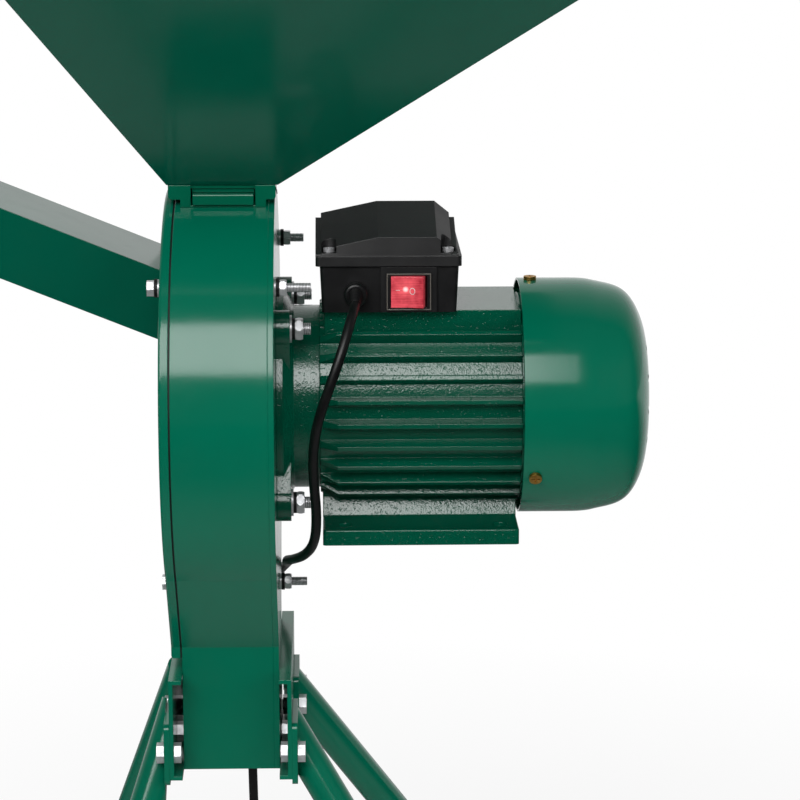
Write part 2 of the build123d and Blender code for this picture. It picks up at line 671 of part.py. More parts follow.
with BuildPart() as winding:
    for start, end in ((stator_start - winding_length, stator_start), (stator_end, stator_end + winding_length)):
        ring(start, end, frame_bore - 8, stator_bore + 4)
    fillet(winding.edges().filter_by(GeomType.CIRCLE), 4.0)
winding.part.label = "stator_winding"
export_step(winding.part, "parts/stator_winding.step")

with BuildPart() as rotor_core:
    ring(stator_start, stator_end, rotor_radius, 14.5 + slip_gap)
    ring(stator_start - 8, stator_end + 8, 30, 20)
rotor_core.part.label = "rotor_core"
export_step(rotor_core.part, "parts/rotor_core.step")

for name, start, width, outer, bore in (
        ("front_bearing", front_bearing_at, front_bearing_width, front_bearing_radius, front_journal),
        ("rear_bearing", rear_bearing_at, rear_bearing_width, rear_bearing_radius, rear_journal)):
    with BuildPart() as bearing:
        ring(start, start + width, outer, bore + slip_gap)
        groove = (outer + bore) / 2
        for face_start in (start, start + width - 1):
            ring(face_start, face_start + 1, groove + 3, groove - 3, mode=Mode.SUBTRACT)
    bearing.part.label = name
    export_step(bearing.part, f"parts/{name}.step")

fan_blades = 8
with BuildPart() as fan:
    ring(fan_at, fan_end, fan_hub, fan_bore + slip_gap)
    ring(fan_at + 8, fan_at + 11, fan_radius, fan_hub - 2)
    with BuildSketch(section(fan_at)):
        with PolarLocations(0, fan_blades):
            with Locations(((fan_radius + fan_hub) / 2, 0)):
                Rectangle(fan_radius - fan_hub + 3, 3)
    extrude(amount=fan_width)
    ring(fan_at, fan_end, fan_radius + 4, fan_radius, mode=Mode.SUBTRACT)
    bars(fan_at, fan_end, fan_bore + slip_gap, [(0, 0)], mode=Mode.SUBTRACT)
fan.part.label = "cooling_fan"
export_step(fan.part, "parts/cooling_fan.step")


def cowl_solid(wall):
    """Domed cup of the cowl, drawn in by the wall's thickness."""
    with BuildSketch(profile) as half:
        with BuildLine():
            Polyline((cowl_bend, cowl_radius - wall), (cowl_start, cowl_radius - wall), (cowl_start, 0),
                     (cowl_end - wall, 0))
            shell = [(cowl_end - back - wall * 0.7, cowl_radius - drop - wall * 0.7) for back, drop in cowl_dome]
            Spline((cowl_end - wall, 0), *shell, (cowl_bend, cowl_radius - wall), tangents=((0, 1), (-1, 0)))
        make_face()
    return revolve(half.sketch, axis=shaft_axis, mode=Mode.PRIVATE)


grille_rings = ((20.0, 34.0, 8), (38.0, 54.0, 14))
with BuildPart() as cowl:
    add(cowl_solid(0))
    add(cowl_solid(cowl_wall), mode=Mode.SUBTRACT)
    for inner, outer, count in grille_rings:
        with BuildSketch(section(cowl_end - 12)):
            with PolarLocations((inner + outer) / 2, count):
                SlotOverall(outer - inner, 5.0)
        extrude(amount=14, mode=Mode.SUBTRACT)
    for angle in cowl_screw_angles:
        out = (0, -cos(radians(angle)), sin(radians(angle)))
        root = Plane(origin=(plate_x + cowl_screw_at, 0, axis_height), x_dir=(1, 0, 0), z_dir=out)
        with BuildSketch(root.offset(cowl_radius - 4)):
            Circle(2.5 + seat_gap)
        extrude(amount=6, mode=Mode.SUBTRACT)
cowl.part.label = "fan_cowl"
export_step(cowl.part, "parts/fan_cowl.step")

with BuildPart() as cowl_screws:
    for angle in cowl_screw_angles:
        out = (0, -cos(radians(angle)), sin(radians(angle)))
        root = Plane(origin=(plate_x + cowl_screw_at, 0, axis_height), x_dir=(1, 0, 0), z_dir=out)
        with BuildSketch(root.offset(cowl_radius - cowl_screw_length)):
            Circle(2.5)
        extrude(amount=cowl_screw_length)
        with BuildSketch(root.offset(cowl_radius)):
            Circle(4.5)
        extrude(amount=2.6)
        with BuildSketch(root.offset(cowl_radius + 1.4)):
            Rectangle(6, 1.0)
            Rectangle(1.0, 6)
        extrude(amount=2, mode=Mode.SUBTRACT)
cowl_screws.part.label = "cowl_screws"
export_step(cowl_screws.part, "parts/cowl_screws.step")

# ---------------------------------------------------------------- terminal box
box_top = pad_height + box_depth
box_middle = box_start + box_length / 2
box_draw = box_depth * tan(radians(box_taper))
switch_front = -box_half - 1.3
switch_pad = (switch_at - 19.5, switch_at + 19.5)
box_floor = pad_height + box_wall


def box_solid(wall, low):
    """Tapered tub of the terminal box, drawn in by the wall's thickness."""
    with BuildSketch(level(low)) as bottom:
        with Locations((box_middle, 0)):
            Rectangle(box_length - 2 * box_draw - 2 * wall, 2 * (box_half - box_draw - wall))
        fillet(vertices(), max(3.0 - wall, 0.5))
    with BuildSketch(level(box_top)) as top:
        with Locations((box_middle, 0)):
            Rectangle(box_length - 2 * wall, 2 * (box_half - wall))
        fillet(vertices(), max(3.0 - wall, 0.5))
    return loft([bottom.sketch.face(), top.sketch.face()], mode=Mode.PRIVATE)


body_length, body_height = window_length + 2.4, window_height + 2.2
with BuildPart() as box_base:
    add(box_solid(0, pad_height))
    slab(switch_pad, (switch_front, -box_half + 4), (pad_height + 0.5, box_top - 0.6))
    add(box_solid(box_wall, box_floor), mode=Mode.SUBTRACT)
    slab((switch_at - body_length / 2 - slip_gap, switch_at + body_length / 2 + slip_gap),
         (switch_front, -box_half + 8),
         (switch_level - body_height / 2 - slip_gap, switch_level + body_height / 2 + slip_gap),
         mode=Mode.SUBTRACT)
    with BuildSketch(Plane(origin=(plate_x + gland_at, -box_half - 2, axis_height + gland_level),
                           x_dir=(1, 0, 0), z_dir=(0, 1, 0))):
        Circle(6.0 + slip_gap)
    extrude(amount=10, mode=Mode.SUBTRACT)
    with BuildSketch(level(pad_height)):
        with Locations((box_middle, 12)):
            Circle(8)
    extrude(amount=box_wall, mode=Mode.SUBTRACT)
box_base.part.label = "box_base"
export_step(box_base.part, "parts/box_base.step")

lid_end = lid_start + lid_length
lid_top = box_top + lid_rise
lid_screws_along = (lid_start + lid_screw_inset, lid_end - lid_screw_inset)
lid_screw_half = lid_half - lid_screw_inset
lid_spots = [(a, b) for a in lid_screws_along for b in (-lid_screw_half, lid_screw_half)]


def hood_section(along, ridge, inset, low):
    """Upright section of the lid's hood: two nearly upright sides and two slopes up to a ridge."""
    half = lid_half - lid_draft - inset
    eaves = ridge - lid_crown
    with BuildSketch(section(along)) as outline:
        with BuildLine():
            Polyline((half - lid_draft, eaves), (half, low), (-half, low), (-half + lid_draft, eaves),
                     (0, ridge), close=True)
        make_face()
    return outline.sketch.face()


def hood(stations, inset, low):
    """Hood through (along, ridge height) stations."""
    sections = [hood_section(along, ridge, inset, low) for along, ridge in stations]
    return loft(sections, ruled=True, mode=Mode.PRIVATE)


ridge_ends = (lid_start + lid_flat[0], lid_start + lid_flat[1])
hood_foot = lid_end - lid_ledge
hood_ends = (lid_start + shoulder_length, hood_foot - shoulder_length)
low_ridge = lid_top - lid_fall
skirt_top = box_top + lid_skirt
outer_stations = ((hood_ends[0], low_ridge), (ridge_ends[0], lid_top),
                  (ridge_ends[1], lid_top), (hood_ends[1], low_ridge))
step_ridge = low_ridge - lid_shoulder
end_stations = ((lid_start, step_ridge), (hood_foot, step_ridge))
inner_stations = ((lid_start + lid_wall, step_ridge - lid_wall), (ridge_ends[0], lid_top - lid_wall),
                  (ridge_ends[1], lid_top - lid_wall), (hood_foot - lid_wall, step_ridge - lid_wall))
pocket_floor = skirt_top + 2.0
with BuildPart() as hull:
    slab((lid_start, lid_end), (-lid_half, lid_half), (box_top, skirt_top))
    fillet(hull.edges().filter_by(Axis.Z), 3.0)
    add(hood(end_stations, 0, skirt_top))
    add(hood(outer_stations, 0, skirt_top))

with BuildPart() as lid:
    add(hull.part)
    slab((lid_start + lid_wall, lid_end - lid_wall), (-lid_half + lid_wall, lid_half - lid_wall),
         (box_top, skirt_top), mode=Mode.SUBTRACT)
    add(hood(inner_stations, lid_wall, skirt_top - 1), mode=Mode.SUBTRACT)
    with BuildSketch(level(box_top)):
        with Locations(*lid_spots):
            Circle(lid_pocket + lid_wall)
    extrude(amount=lid_rise)
    add(hull.part, mode=Mode.INTERSECT)
    for along, across in lid_spots:
        outside = (across, lid_half) if across > 0 else (-lid_half, across)
        with BuildSketch(level(pocket_floor)):
            with Locations((along, across)):
                Circle(lid_pocket)
        extrude(amount=lid_rise, mode=Mode.SUBTRACT)
        slab((along - lid_pocket, along + lid_pocket), outside, (pocket_floor, lid_top), mode=Mode.SUBTRACT)
    with BuildSketch(level(box_top)):
        with Locations(*lid_spots):
            Circle(2.0 + slip_gap)
    extrude(amount=lid_rise, mode=Mode.SUBTRACT)
lid.part.label = "box_lid"
export_step(lid.part, "parts/box_lid.step")

with BuildPart() as lid_screws:
    for spot in lid_spots:
        with BuildSketch(level(box_top)):
            with Locations(spot):
                Circle(2.0)
        extrude(amount=pocket_floor - box_top)
        with BuildSketch(level(pocket_floor)):
            with Locations(spot):
                Circle(4.0)
        extrude(amount=2.6)
        with BuildSketch(level(pocket_floor + 1.4)):
            with Locations(spot):
                Rectangle(5, 0.9)
                Rectangle(0.9, 5)
        extrude(amount=2, mode=Mode.SUBTRACT)
lid_screws.part.label = "lid_screws"
export_step(lid_screws.part, "parts/lid_screws.step")

# Rocker switch: the rocker turns about an upright pin
bezel_front = switch_front - bezel_thickness
pivot_y = bezel_front + pivot_depth
pivot_radius = 1.2
pin_length = 0.9
window_low = switch_level - window_height / 2
with BuildPart() as switch_frame:
    slab((switch_at - bezel_length / 2, switch_at + bezel_length / 2), (bezel_front, switch_front),
         (switch_level - bezel_height / 2, switch_level + bezel_height / 2))
    fillet(switch_frame.faces().sort_by(Axis.Y)[0].edges(), 0.8)
    slab((switch_at - body_length / 2, switch_at + body_length / 2), (switch_front, switch_front + switch_depth),
         (switch_level - body_height / 2, switch_level + body_height / 2))
    slab((switch_at - window_length / 2, switch_at + window_length / 2), (bezel_front - 1, bezel_front + 14),
         (window_low, window_low + window_height), mode=Mode.SUBTRACT)
    with BuildSketch(Plane(origin=(plate_x + switch_at, pivot_y, axis_height + switch_level - body_height / 2))):
        Circle(pivot_radius + slip_gap)
    extrude(amount=body_height, mode=Mode.SUBTRACT)
switch_frame.part.label = "switch_frame"
export_step(switch_frame.part, "parts/switch_frame.step")

rocker_half = window_height / 2 - 0.3
with BuildPart() as rocker:
    with BuildSketch(Plane(origin=(plate_x + switch_at, pivot_y, axis_height + switch_level))):
        with BuildLine():
            Polyline((-11.2, -pivot_depth - 2.5), (0, -pivot_depth - 1.2), (11.2, -pivot_depth - 2.5),
                     (11.6, 0), (7, 3.5), (-7, 3.5), (-11.6, 0), close=True)
        make_face()
    extrude(amount=rocker_half, both=True)
    fillet(rocker.faces().filter_by(Axis.Z).edges().group_by(Axis.Y)[0], 0.6)
    with BuildSketch(Plane(origin=(plate_x + switch_at, pivot_y, axis_height + switch_level))):
        Circle(pivot_radius)
    extrude(amount=rocker_half + 0.3 + pin_length, both=True)
rocker_pin = Axis((plate_x + switch_at, pivot_y, 0), (0, 0, 1))
rocker_on = rocker.part.rotate(rocker_pin, -rocker_tilt)
rocker_on.label = "rocker"
export_step(rocker_on, "parts/rocker.step")

with BuildPart() as capacitor:
    bars(42, 106, 14.0, [(22, box_floor + 14.0)])
    fillet(capacitor.edges().filter_by(GeomType.CIRCLE), 2.0)
capacitor.part.label = "capacitor"
export_step(capacitor.part, "parts/capacitor.step")

with BuildPart() as terminals:
    slab((42, 70), (-30, -14), (box_floor, box_floor + 14))
    with BuildSketch(level(box_floor + 14)):
        with Locations((56, -22)):
            with GridLocations(7, 8, 4, 2):
                Circle(2.2)
    extrude(amount=-8, mode=Mode.SUBTRACT)
terminals.part.label = "terminal_block"
export_step(terminals.part, "parts/terminal_block.step")

gland_seat = -box_half + (box_depth - (gland_level + gland_radius - pad_height)) * tan(radians(box_taper))
gland_front = gland_seat - gland_reach
front_view = Plane(origin=(plate_x + gland_at, gland_front, axis_height + gland_level),
                   x_dir=(1, 0, 0), z_dir=(0, 1, 0))
with BuildPart() as gland:
    with BuildSketch(front_view):
        Circle(gland_radius)
    extrude(amount=gland_reach)
    fillet(gland.edges().sort_by(Axis.Y)[0], 2.4)
    with BuildSketch(front_view):
        Circle(6.0)
    extrude(amount=gland_reach + 10)
    with BuildSketch(front_view.offset(gland_reach + box_wall + 1.2)):
        RegularPolygon(9.5, 6)
    extrude(amount=5)
    with BuildSketch(front_view):
        Circle(cord_radius + slip_gap)
    extrude(amount=8, mode=Mode.SUBTRACT)
gland.part.label = "cable_gland"
export_step(gland.part, "parts/cable_gland.step")

# ---------------------------------------------------------------- stand
leg_middle = leg_drop_top
channels = {"rear": (0.0, 1), "front": (drum_front, -1)}
bolt_spots = [(side * leg_half_top + shift * leg_bolt_pitch / 2, -leg_middle)
              for side in (-1, 1) for shift in (-1, 1)]

for name, (face, away) in channels.items():
    web = sorted((face + away * (channel_depth - channel_wall), face + away * channel_depth))
    outer = sorted((face, face + away * channel_depth))
    inner = sorted((face, face + away * (channel_depth - channel_wall)))
    with BuildPart() as channel:
        slab(outer, (-channel_half, channel_half), (-chute_drop, -channel_top))
        slab(inner, (-channel_half, channel_half), (-chute_drop + channel_wall, -channel_top - channel_wall),
             mode=Mode.SUBTRACT)
        bars(web[0], web[1], m8_radius + seat_gap, bolt_spots, mode=Mode.SUBTRACT)
    channel.part.label = f"{name}_channel"
    export_step(channel.part, f"parts/{name}_channel.step")

reaches = {"rear": rear_leg_reach, "front": front_leg_reach}
leg_axes = {}
for name, (face, away) in channels.items():
    plate_start = face + away * channel_depth
    plate_end = plate_start + away * leg_plate
    bounds = sorted((plate_start, plate_end))
    for side_name, side in (("near", -1), ("far", 1)):
        top = Vector(plate_x + plate_end, side * leg_half_top, axis_height - leg_middle)
        foot = Vector(plate_x + plate_end + away * reaches[name], side * leg_half_floor, foot_sole)
        along_leg = (foot - top).normalized()
        start = top - along_leg * 30
        length = (foot - start).length + 20
        leg_axes[(name, side_name)] = (start, along_leg, foot)
        tube_plane = Plane(origin=start, z_dir=along_leg)
        with BuildPart() as leg:
            with BuildSketch(tube_plane):
                Circle(leg_radius)
            extrude(amount=length)
            cut = sorted((plate_end, plate_end - away * 60))
            slab(cut, (-300, 300), (-leg_middle - 100, -leg_middle + 100), mode=Mode.SUBTRACT)
            slab((-400, 400), (-400, 400), (-axis_height - 50, -axis_height + foot_sole), mode=Mode.SUBTRACT)
            with BuildSketch(tube_plane.offset(34)):
                Circle(leg_radius - leg_wall)
            extrude(amount=length - 34, mode=Mode.SUBTRACT)
            middle = side * leg_half_top
            slab(bounds, (middle - leg_plate_width / 2, middle + leg_plate_width / 2),
                 (-leg_middle - leg_plate_height / 2, -leg_middle + leg_plate_height / 2))
            fillet(leg.edges().filter_by(Axis.X), 5.0)
            bars(bounds[0], bounds[1], m8_radius + seat_gap,
                 [(middle - leg_bolt_pitch / 2, -leg_middle), (middle + leg_bolt_pitch / 2, -leg_middle)],
                 mode=Mode.SUBTRACT)
        leg.part.label = f"leg_{name}_{side_name}"
        export_step(leg.part, f"parts/leg_{name}_{side_name}.step")

with BuildPart() as feet:
    for start, along_leg, foot in leg_axes.values():
        with BuildSketch(Plane(origin=(foot.X, foot.Y, 0))):
            Circle(foot_radius)
        extrude(amount=foot_height)
    fillet(feet.edges().filter_by(GeomType.CIRCLE), 2.0)
    for start, along_leg, foot in leg_axes.values():
        back = foot - along_leg * 40
        with BuildSketch(Plane(origin=back, z_dir=along_leg)):
            Circle(leg_radius + slip_gap)
        extrude(amount=60, mode=Mode.SUBTRACT)
    for start, along_leg, foot in leg_axes.values():
        with BuildSketch(Plane(origin=(foot.X, foot.Y, 0))):
            Circle(foot_radius - 2)
        extrude(amount=foot_sole)
feet.part.label = "rubber_feet"
export_step(feet.part, "parts/rubber_feet.step")

with BuildPart() as leg_bolts:
    for face, away in channels.values():
        head = face + away * (channel_depth + leg_plate)
        bars(*sorted((face + away * 0.5, head)), m8_radius, bolt_spots)
        bars(*sorted((head, head + away * m8_height)), hexagon(m8_key - 1), bolt_spots, sides=6)
leg_bolts.part.label = "leg_bolts"
export_step(leg_bolts.part, "parts/leg_bolts.step")

with BuildPart() as leg_nuts:
    for face, away in channels.values():
        web = face + away * (channel_depth - channel_wall)
        bars(*sorted((web, web - away * (m8_height - 0.5))), hexagon(m8_key - 1), bolt_spots, sides=6)
        bars(*sorted((web, web - away * (m8_height - 0.5))), m8_radius + slip_gap, bolt_spots, mode=Mode.SUBTRACT)
leg_nuts.part.label = "leg_nuts"
export_step(leg_nuts.part, "parts/leg_nuts.step")

# ---------------------------------------------------------------- mains lead
# Route points are (along, -Y distance towards the switch side, height from the shaft).
lead_route = [
    (55.8, 61.0, 85.0), (55.8, 80.0, 85.0), (52.2, 99.2, 76.5), (46.5, 113.7, 59.2), (38.5, 119.0, 36.8),
    (29.7, 114.8, 11.4), (25.5, 105.0, -14.0), (25.9, 96.0, -39.0), (27.9, 88.0, -64.0),
    (26.6, 81.0, -86.0), (18.0, 62.0, -104.0), (8.6, 28.0, -117.0), (5.0, -14.0, -128.0),
    (6.2, -50.0, -138.0), (8.0, -86.0, -146.0), (2.5, -105.0, -156.0), (-8.5, -116.0, -172.5),
    (-17.5, -116.0, -196.0), (-23.0, -106.0, -222.0), (-25.0, -94.0, -258.0), (-24.5, -90.0, -312.0),
    (-23.5, -95.0, -368.0), (-23.0, -101.0, -424.0), (-24.0, -110.0, -474.0), (-27.0, -124.0, -511.0),
    (-31.0, -146.0, -536.0),
]
floor_level = -axis_height + cord_radius
lead_route += [(-33.5, -172.0, floor_level), (-34.5, -192.0, floor_level)]


def place(point):
    """Route point to model coordinates."""
    return (plate_x + point[0], -point[1], axis_height + point[2])


def corner_radii(points):
    """Largest radius that the two runs at each corner allow."""
    radii = []
    for before, here, after in zip(points, points[1:], points[2:]):
        first = Vector(*here) - Vector(*before)
        second = Vector(*after) - Vector(*here)
        half_turn = radians(first.get_angle(second)) / 2
        radii.append(0.45 * min(first.length, second.length) / tan(half_turn))
    return radii


def tube(points, name):
    """Round tube along a route of straight runs joined by tangent arcs."""
    radii = corner_radii(points)
    with BuildPart() as lead:
        with BuildLine() as path:
            FilletPolyline(*points, radius=radii)
        first_run = Vector(*points[1]) - Vector(*points[0])
        with BuildSketch(Plane(origin=points[0], z_dir=first_run)):
            Circle(cord_radius)
        sweep(path=path.line)
    length = sum(edge.length for edge in path.edges())
    section_area = pi * cord_radius**2
    print(name, "length", round(length, 1), "tightest radius", round(min(radii), 1),
          "volume / (section x length)", round(lead.part.volume / (section_area * length), 4))
    print("  radii", [round(r) for r in radii])
    return lead.part, length


lead_part, lead_length = tube([place(p) for p in lead_route], "cord_lead")
lead_part.label = "cord_lead"
export_step(lead_part, "parts/cord_lead.step")

# The coil lies on the floor behind the mill; the lead runs into it tangentially
coil_rise = 2.0 * cord_diameter
coil_outer = coil_turn_radius + cord_diameter
coil_inner = coil_turn_radius - cord_diameter
lead_end = place(lead_route[-1])
coil_centre = (lead_end[0] + coil_turn_radius + cord_radius, lead_end[1] + 12.0, 0)
with BuildPart() as coil:
    with BuildSketch(Plane(origin=coil_centre)):
        Circle(coil_outer)
        Circle(coil_inner, mode=Mode.SUBTRACT)
    extrude(amount=coil_rise)
    fillet(coil.edges().filter_by(GeomType.CIRCLE), 3.0)
coil.part.label = "cord_coil"
export_step(coil.part, "parts/cord_coil.step")

with BuildPart() as tie:
    tie_plane = Plane(origin=(coil_centre[0], coil_centre[1] + coil_turn_radius, coil_rise / 2 + tie_wall / 2),
                      x_dir=(0, 1, 0), z_dir=(1, 0, 0))
    with BuildSketch(tie_plane.offset(-tie_width / 2)):
        Rectangle(2 * cord_diameter + 2 * tie_wall + 1.0, coil_rise + tie_wall)
        with Locations((0, -tie_wall / 2)):
            Rectangle(2 * cord_diameter + 1.0, coil_rise, mode=Mode.SUBTRACT)
    extrude(amount=tie_width)
tie.part.label = "cord_tie"
export_step(tie.part, "parts/cord_tie.step")

# The far end leaves the top turn and runs into the plug, which lies beside the coil
tail_start = (coil_centre[0] + coil_turn_radius + cord_radius, coil_centre[1], coil_rise - cord_radius)
tail_route = [tail_start, (tail_start[0] + 1, tail_start[1] - 28, coil_rise - cord_radius + 3.0),
              (tail_start[0] + 5, tail_start[1] - 54, plug_radius),
              (tail_start[0] + 11, tail_start[1] - 80, plug_radius)]
tail_part, tail_length = tube(tail_route, "cord_tail")
tail_part.label = "cord_tail"
export_step(tail_part, "parts/cord_tail.step")

plug_way = (Vector(*tail_route[3]) - Vector(*tail_route[2])).normalized()
plug_plane = Plane(origin=tail_route[3], z_dir=plug_way)
with BuildPart() as plug:
    with BuildSketch(plug_plane):
        Circle(cord_radius + 1.5)
    with BuildSketch(plug_plane.offset(plug_length * 0.45)):
        Circle(plug_radius - 2)
    loft()
    with BuildSketch(plug_plane.offset(plug_length * 0.45)):
        Circle(plug_radius)
    extrude(amount=plug_length * 0.55)
    for side in (-1, 1):
        with BuildSketch(plug_plane.offset(plug_length)):
            with Locations((0, side * 9.5)):
                Circle(2.4)
        extrude(amount=19)
plug.part.label = "mains_plug"
export_step(plug.part, "parts/mains_plug.step")

coil_length = coil_turns * 2 * pi * coil_turn_radius
print("cord length in all", round(lead_length + coil_length + tail_length), "mm")

# Clip on the outlet's far wall holds the lead where it turns down
clip_point, clip_next = lead_route[clip_run], lead_route[clip_run + 1]
clip_at = Vector(*place(clip_point)) * 0.5 + Vector(*place(clip_next)) * 0.5
clip_way = (Vector(*place(clip_next)) - Vector(*place(clip_point))).normalized()
clip_along = clip_at.X - plate_x
clip_height = clip_at.Z - axis_height
with BuildPart() as clip:
    with BuildSketch(Plane(origin=clip_at - clip_way * clip_width / 2, z_dir=clip_way)):
        Circle(cord_radius + seat_gap + clip_wall)
    extrude(amount=clip_width)
    slab((clip_along - clip_wall / 2, clip_along + clip_wall / 2), (neck_half, clip_at.Y),
         (clip_height - clip_width / 2, clip_height + clip_width / 2))
    slab((clip_along - clip_width, clip_along + clip_width), (neck_half - 3, neck_half + clip_wall),
         (clip_height - clip_width / 2, clip_height + clip_width / 2))
    keyhole(drum_front, 0, mode=Mode.SUBTRACT)
    with BuildSketch(Plane(origin=clip_at - clip_way * clip_width, z_dir=clip_way)):
        Circle(cord_radius + seat_gap)
    extrude(amount=2 * clip_width, mode=Mode.SUBTRACT)
clip.part.label = "cord_clip"
export_step(clip.part, "parts/cord_clip.step")
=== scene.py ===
# %% [markdown]
# # Electric grain mill
#
# A hammer mill for grain: a round sheet-metal drum with a hopper above it, a ribbed cast motor bolted to
# its back, a plastic terminal box with a lit switch, and a stand with four tube legs. The solids come from
# the construction model. This notebook gives them their finishes, adds the small things that a construction
# model leaves out, and sets up a plain studio.

from math import cos, pi, radians, sin, sqrt

import bmesh
import bpy
from mathutils import Matrix, Vector


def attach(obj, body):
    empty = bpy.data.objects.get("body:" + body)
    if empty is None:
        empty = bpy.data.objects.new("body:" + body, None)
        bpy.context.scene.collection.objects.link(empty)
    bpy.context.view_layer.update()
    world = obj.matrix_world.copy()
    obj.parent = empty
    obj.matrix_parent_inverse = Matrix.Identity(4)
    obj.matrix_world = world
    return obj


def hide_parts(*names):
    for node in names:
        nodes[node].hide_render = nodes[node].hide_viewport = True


MM = 0.001
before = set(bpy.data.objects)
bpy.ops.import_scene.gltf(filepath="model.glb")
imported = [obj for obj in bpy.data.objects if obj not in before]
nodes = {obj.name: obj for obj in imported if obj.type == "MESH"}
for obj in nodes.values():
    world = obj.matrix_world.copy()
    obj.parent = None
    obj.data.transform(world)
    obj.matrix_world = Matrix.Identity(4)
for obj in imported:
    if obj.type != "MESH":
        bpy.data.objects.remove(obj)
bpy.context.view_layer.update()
print("solids loaded:", len(nodes))

# %% [markdown]
# ## Places on the machine
#
# The machine has three handy zeros: the shaft, the motor's face of the rear plate, and the middle of the
# width. Places and sizes on the machine are in millimetres from them, so a number here means the same as on
# a drawing. One function turns such a place into the scene's metres, and another gives places on a circle
# about the shaft.

# %% From drawing places to scene places
AXIS_HEIGHT = 550.0
PLATE_X = -27.6


def place(along, side, height):
    """Along the shaft from the rear plate, out towards the switch side, and up from the shaft."""
    return Vector((PLATE_X + along, -side, AXIS_HEIGHT + height)) * MM


def on_round(along, radius, angle):
    """A place on a circle about the shaft; 0 degrees faces the switch side and 90 degrees is up."""
    return place(along, radius * cos(radians(angle)), radius * sin(radians(angle)))


# %% [markdown]
# ## The camera
#
# A long lens from about two metres keeps the machine's edges nearly parallel. The camera stands a little
# above the shaft and looks slightly down, and it aims a few centimetres towards the motor. Its place is
# worked out from the angle and the distance, so each of them can be tried alone.

# %% Camera
FOCAL_PIXELS = 2710.0
FRAME_PIXELS = 800.0
SENSOR_WIDTH = 36.0
FAR_CLIP = 60.0
camera_rise = radians(13.25)
camera_distance = 1.95
square_along = 37.5       # the camera stands square to the shaft here
aim_right, aim_down = 70.0, 4.8

forward = Vector((0, cos(camera_rise), -sin(camera_rise)))
upward = Vector((0, sin(camera_rise), cos(camera_rise)))
camera_data = bpy.data.cameras.new("camera")
camera = bpy.data.objects.new("camera", camera_data)
bpy.context.scene.collection.objects.link(camera)
camera.location = place(square_along, 0, 0) - forward * camera_distance
aim = forward + Vector((aim_right / FOCAL_PIXELS, 0, 0)) - upward * (aim_down / FOCAL_PIXELS)
camera.rotation_mode = "QUATERNION"
camera.rotation_quaternion = aim.to_track_quat("-Z", "Y")
camera_data.sensor_width = SENSOR_WIDTH
camera_data.lens = SENSOR_WIDTH * FOCAL_PIXELS / FRAME_PIXELS
camera_data.clip_end = FAR_CLIP
camera_data.dof.use_dof = False
bpy.context.scene.camera = camera
bpy.context.scene.view_settings.view_transform = "Standard"
print("camera at", [round(c, 3) for c in camera.location])

# %% [markdown]
# ## Writing finishes as sums
#
# A finish is a small network of nodes. Wiring it by hand hides the idea, so one class stands for a wire and
# knows plus, minus, times and the rest, and another stands for the whole finish and adds any other node.
# The sum `0.3 + 0.2 * dust` then reads as what it does.


# %% Wires and finishes
class Wire:
    """One value in a finish's network, which can be used in sums."""

    def __init__(self, finish, socket):
        self.finish, self.socket = finish, socket

    def sum(self, operation, first, second):
        return self.finish.node("ShaderNodeMath", {"operation": operation}, {0: first, 1: second})

    def __add__(self, other):
        return self.sum("ADD", self, other)

    def __sub__(self, other):
        return self.sum("SUBTRACT", self, other)

    def __rsub__(self, other):
        return self.sum("SUBTRACT", other, self)

    def __mul__(self, other):
        return self.sum("MULTIPLY", self, other)

    def __pow__(self, other):
        return self.sum("POWER", self, other)

    __radd__, __rmul__ = __add__, __mul__


class Finish:
    """A material being written, with one method that adds any node."""

    def __init__(self, name, **constants):
        self.material = bpy.data.materials.new(name)
        self.material.use_nodes = True
        self.tree = self.material.node_tree
        self.shader = self.tree.nodes["Principled BSDF"]
        for label, value in constants.items():
            self.feed(self.shader.inputs[label.replace("_", " ")], value)

    def feed(self, socket, value):
        if isinstance(value, Wire):
            self.tree.links.new(value.socket, socket)
        else:
            socket.default_value = value

    def node(self, kind, settings=None, sockets=None, output=0):
        made = self.tree.nodes.new(kind)
        for name, value in (settings or {}).items():
            setattr(made, name, value)
        for key, value in (sockets or {}).items():
            self.feed(made.inputs[key], value)
        return Wire(self, made.outputs[output])

    def set(self, label, value):
        self.feed(self.shader.inputs[label], value)


def colour(red, green, blue):
    """A colour as a paint chart gives it, from 0 to 255, in the renderer's own scale."""
    parts = [c / 255 for c in (red, green, blue)]
    return tuple(c / 12.92 if c <= 0.04045 else ((c + 0.055) / 1.055) ** 2.4 for c in parts) + (1.0,)


def coordinates(finish):
    return finish.node("ShaderNodeTexCoord", output="Object")


def noise(finish, scale, detail=2.0, roughness=0.5, where=None, stretch=None):
    """Cloudy pattern from 0 to 1, with features of about 1/scale metres."""
    where = where or coordinates(finish)
    if stretch:
        where = finish.node("ShaderNodeMapping", sockets={"Vector": where, "Scale": stretch})
    return finish.node("ShaderNodeTexNoise", sockets={
        "Vector": where, "Scale": scale, "Detail": detail, "Roughness": roughness}, output="Fac")


def ramp(finish, value, low, high):
    """Stretches the part of a value between low and high to 0 and 1."""
    return finish.node("ShaderNodeMapRange", {"clamp": True},
                       {"Value": value, "From Min": low, "From Max": high, "To Min": 0.0, "To Max": 1.0})


def mix(finish, share, one, two):
    return finish.node("ShaderNodeMix", {"data_type": "RGBA"}, {"Factor": share, 6: one, 7: two}, output=2)


def relief(finish, height, depth, edge=0.0):
    """Bumps of that depth in metres; a softened edge of that radius goes under them."""
    sockets = {"Height": height, "Distance": depth, "Strength": 1.0}
    if edge:
        sockets["Normal"] = finish.node("ShaderNodeBevel", {"samples": 6}, {"Radius": edge})
    finish.set("Normal", finish.node("ShaderNodeBump", sockets=sockets))


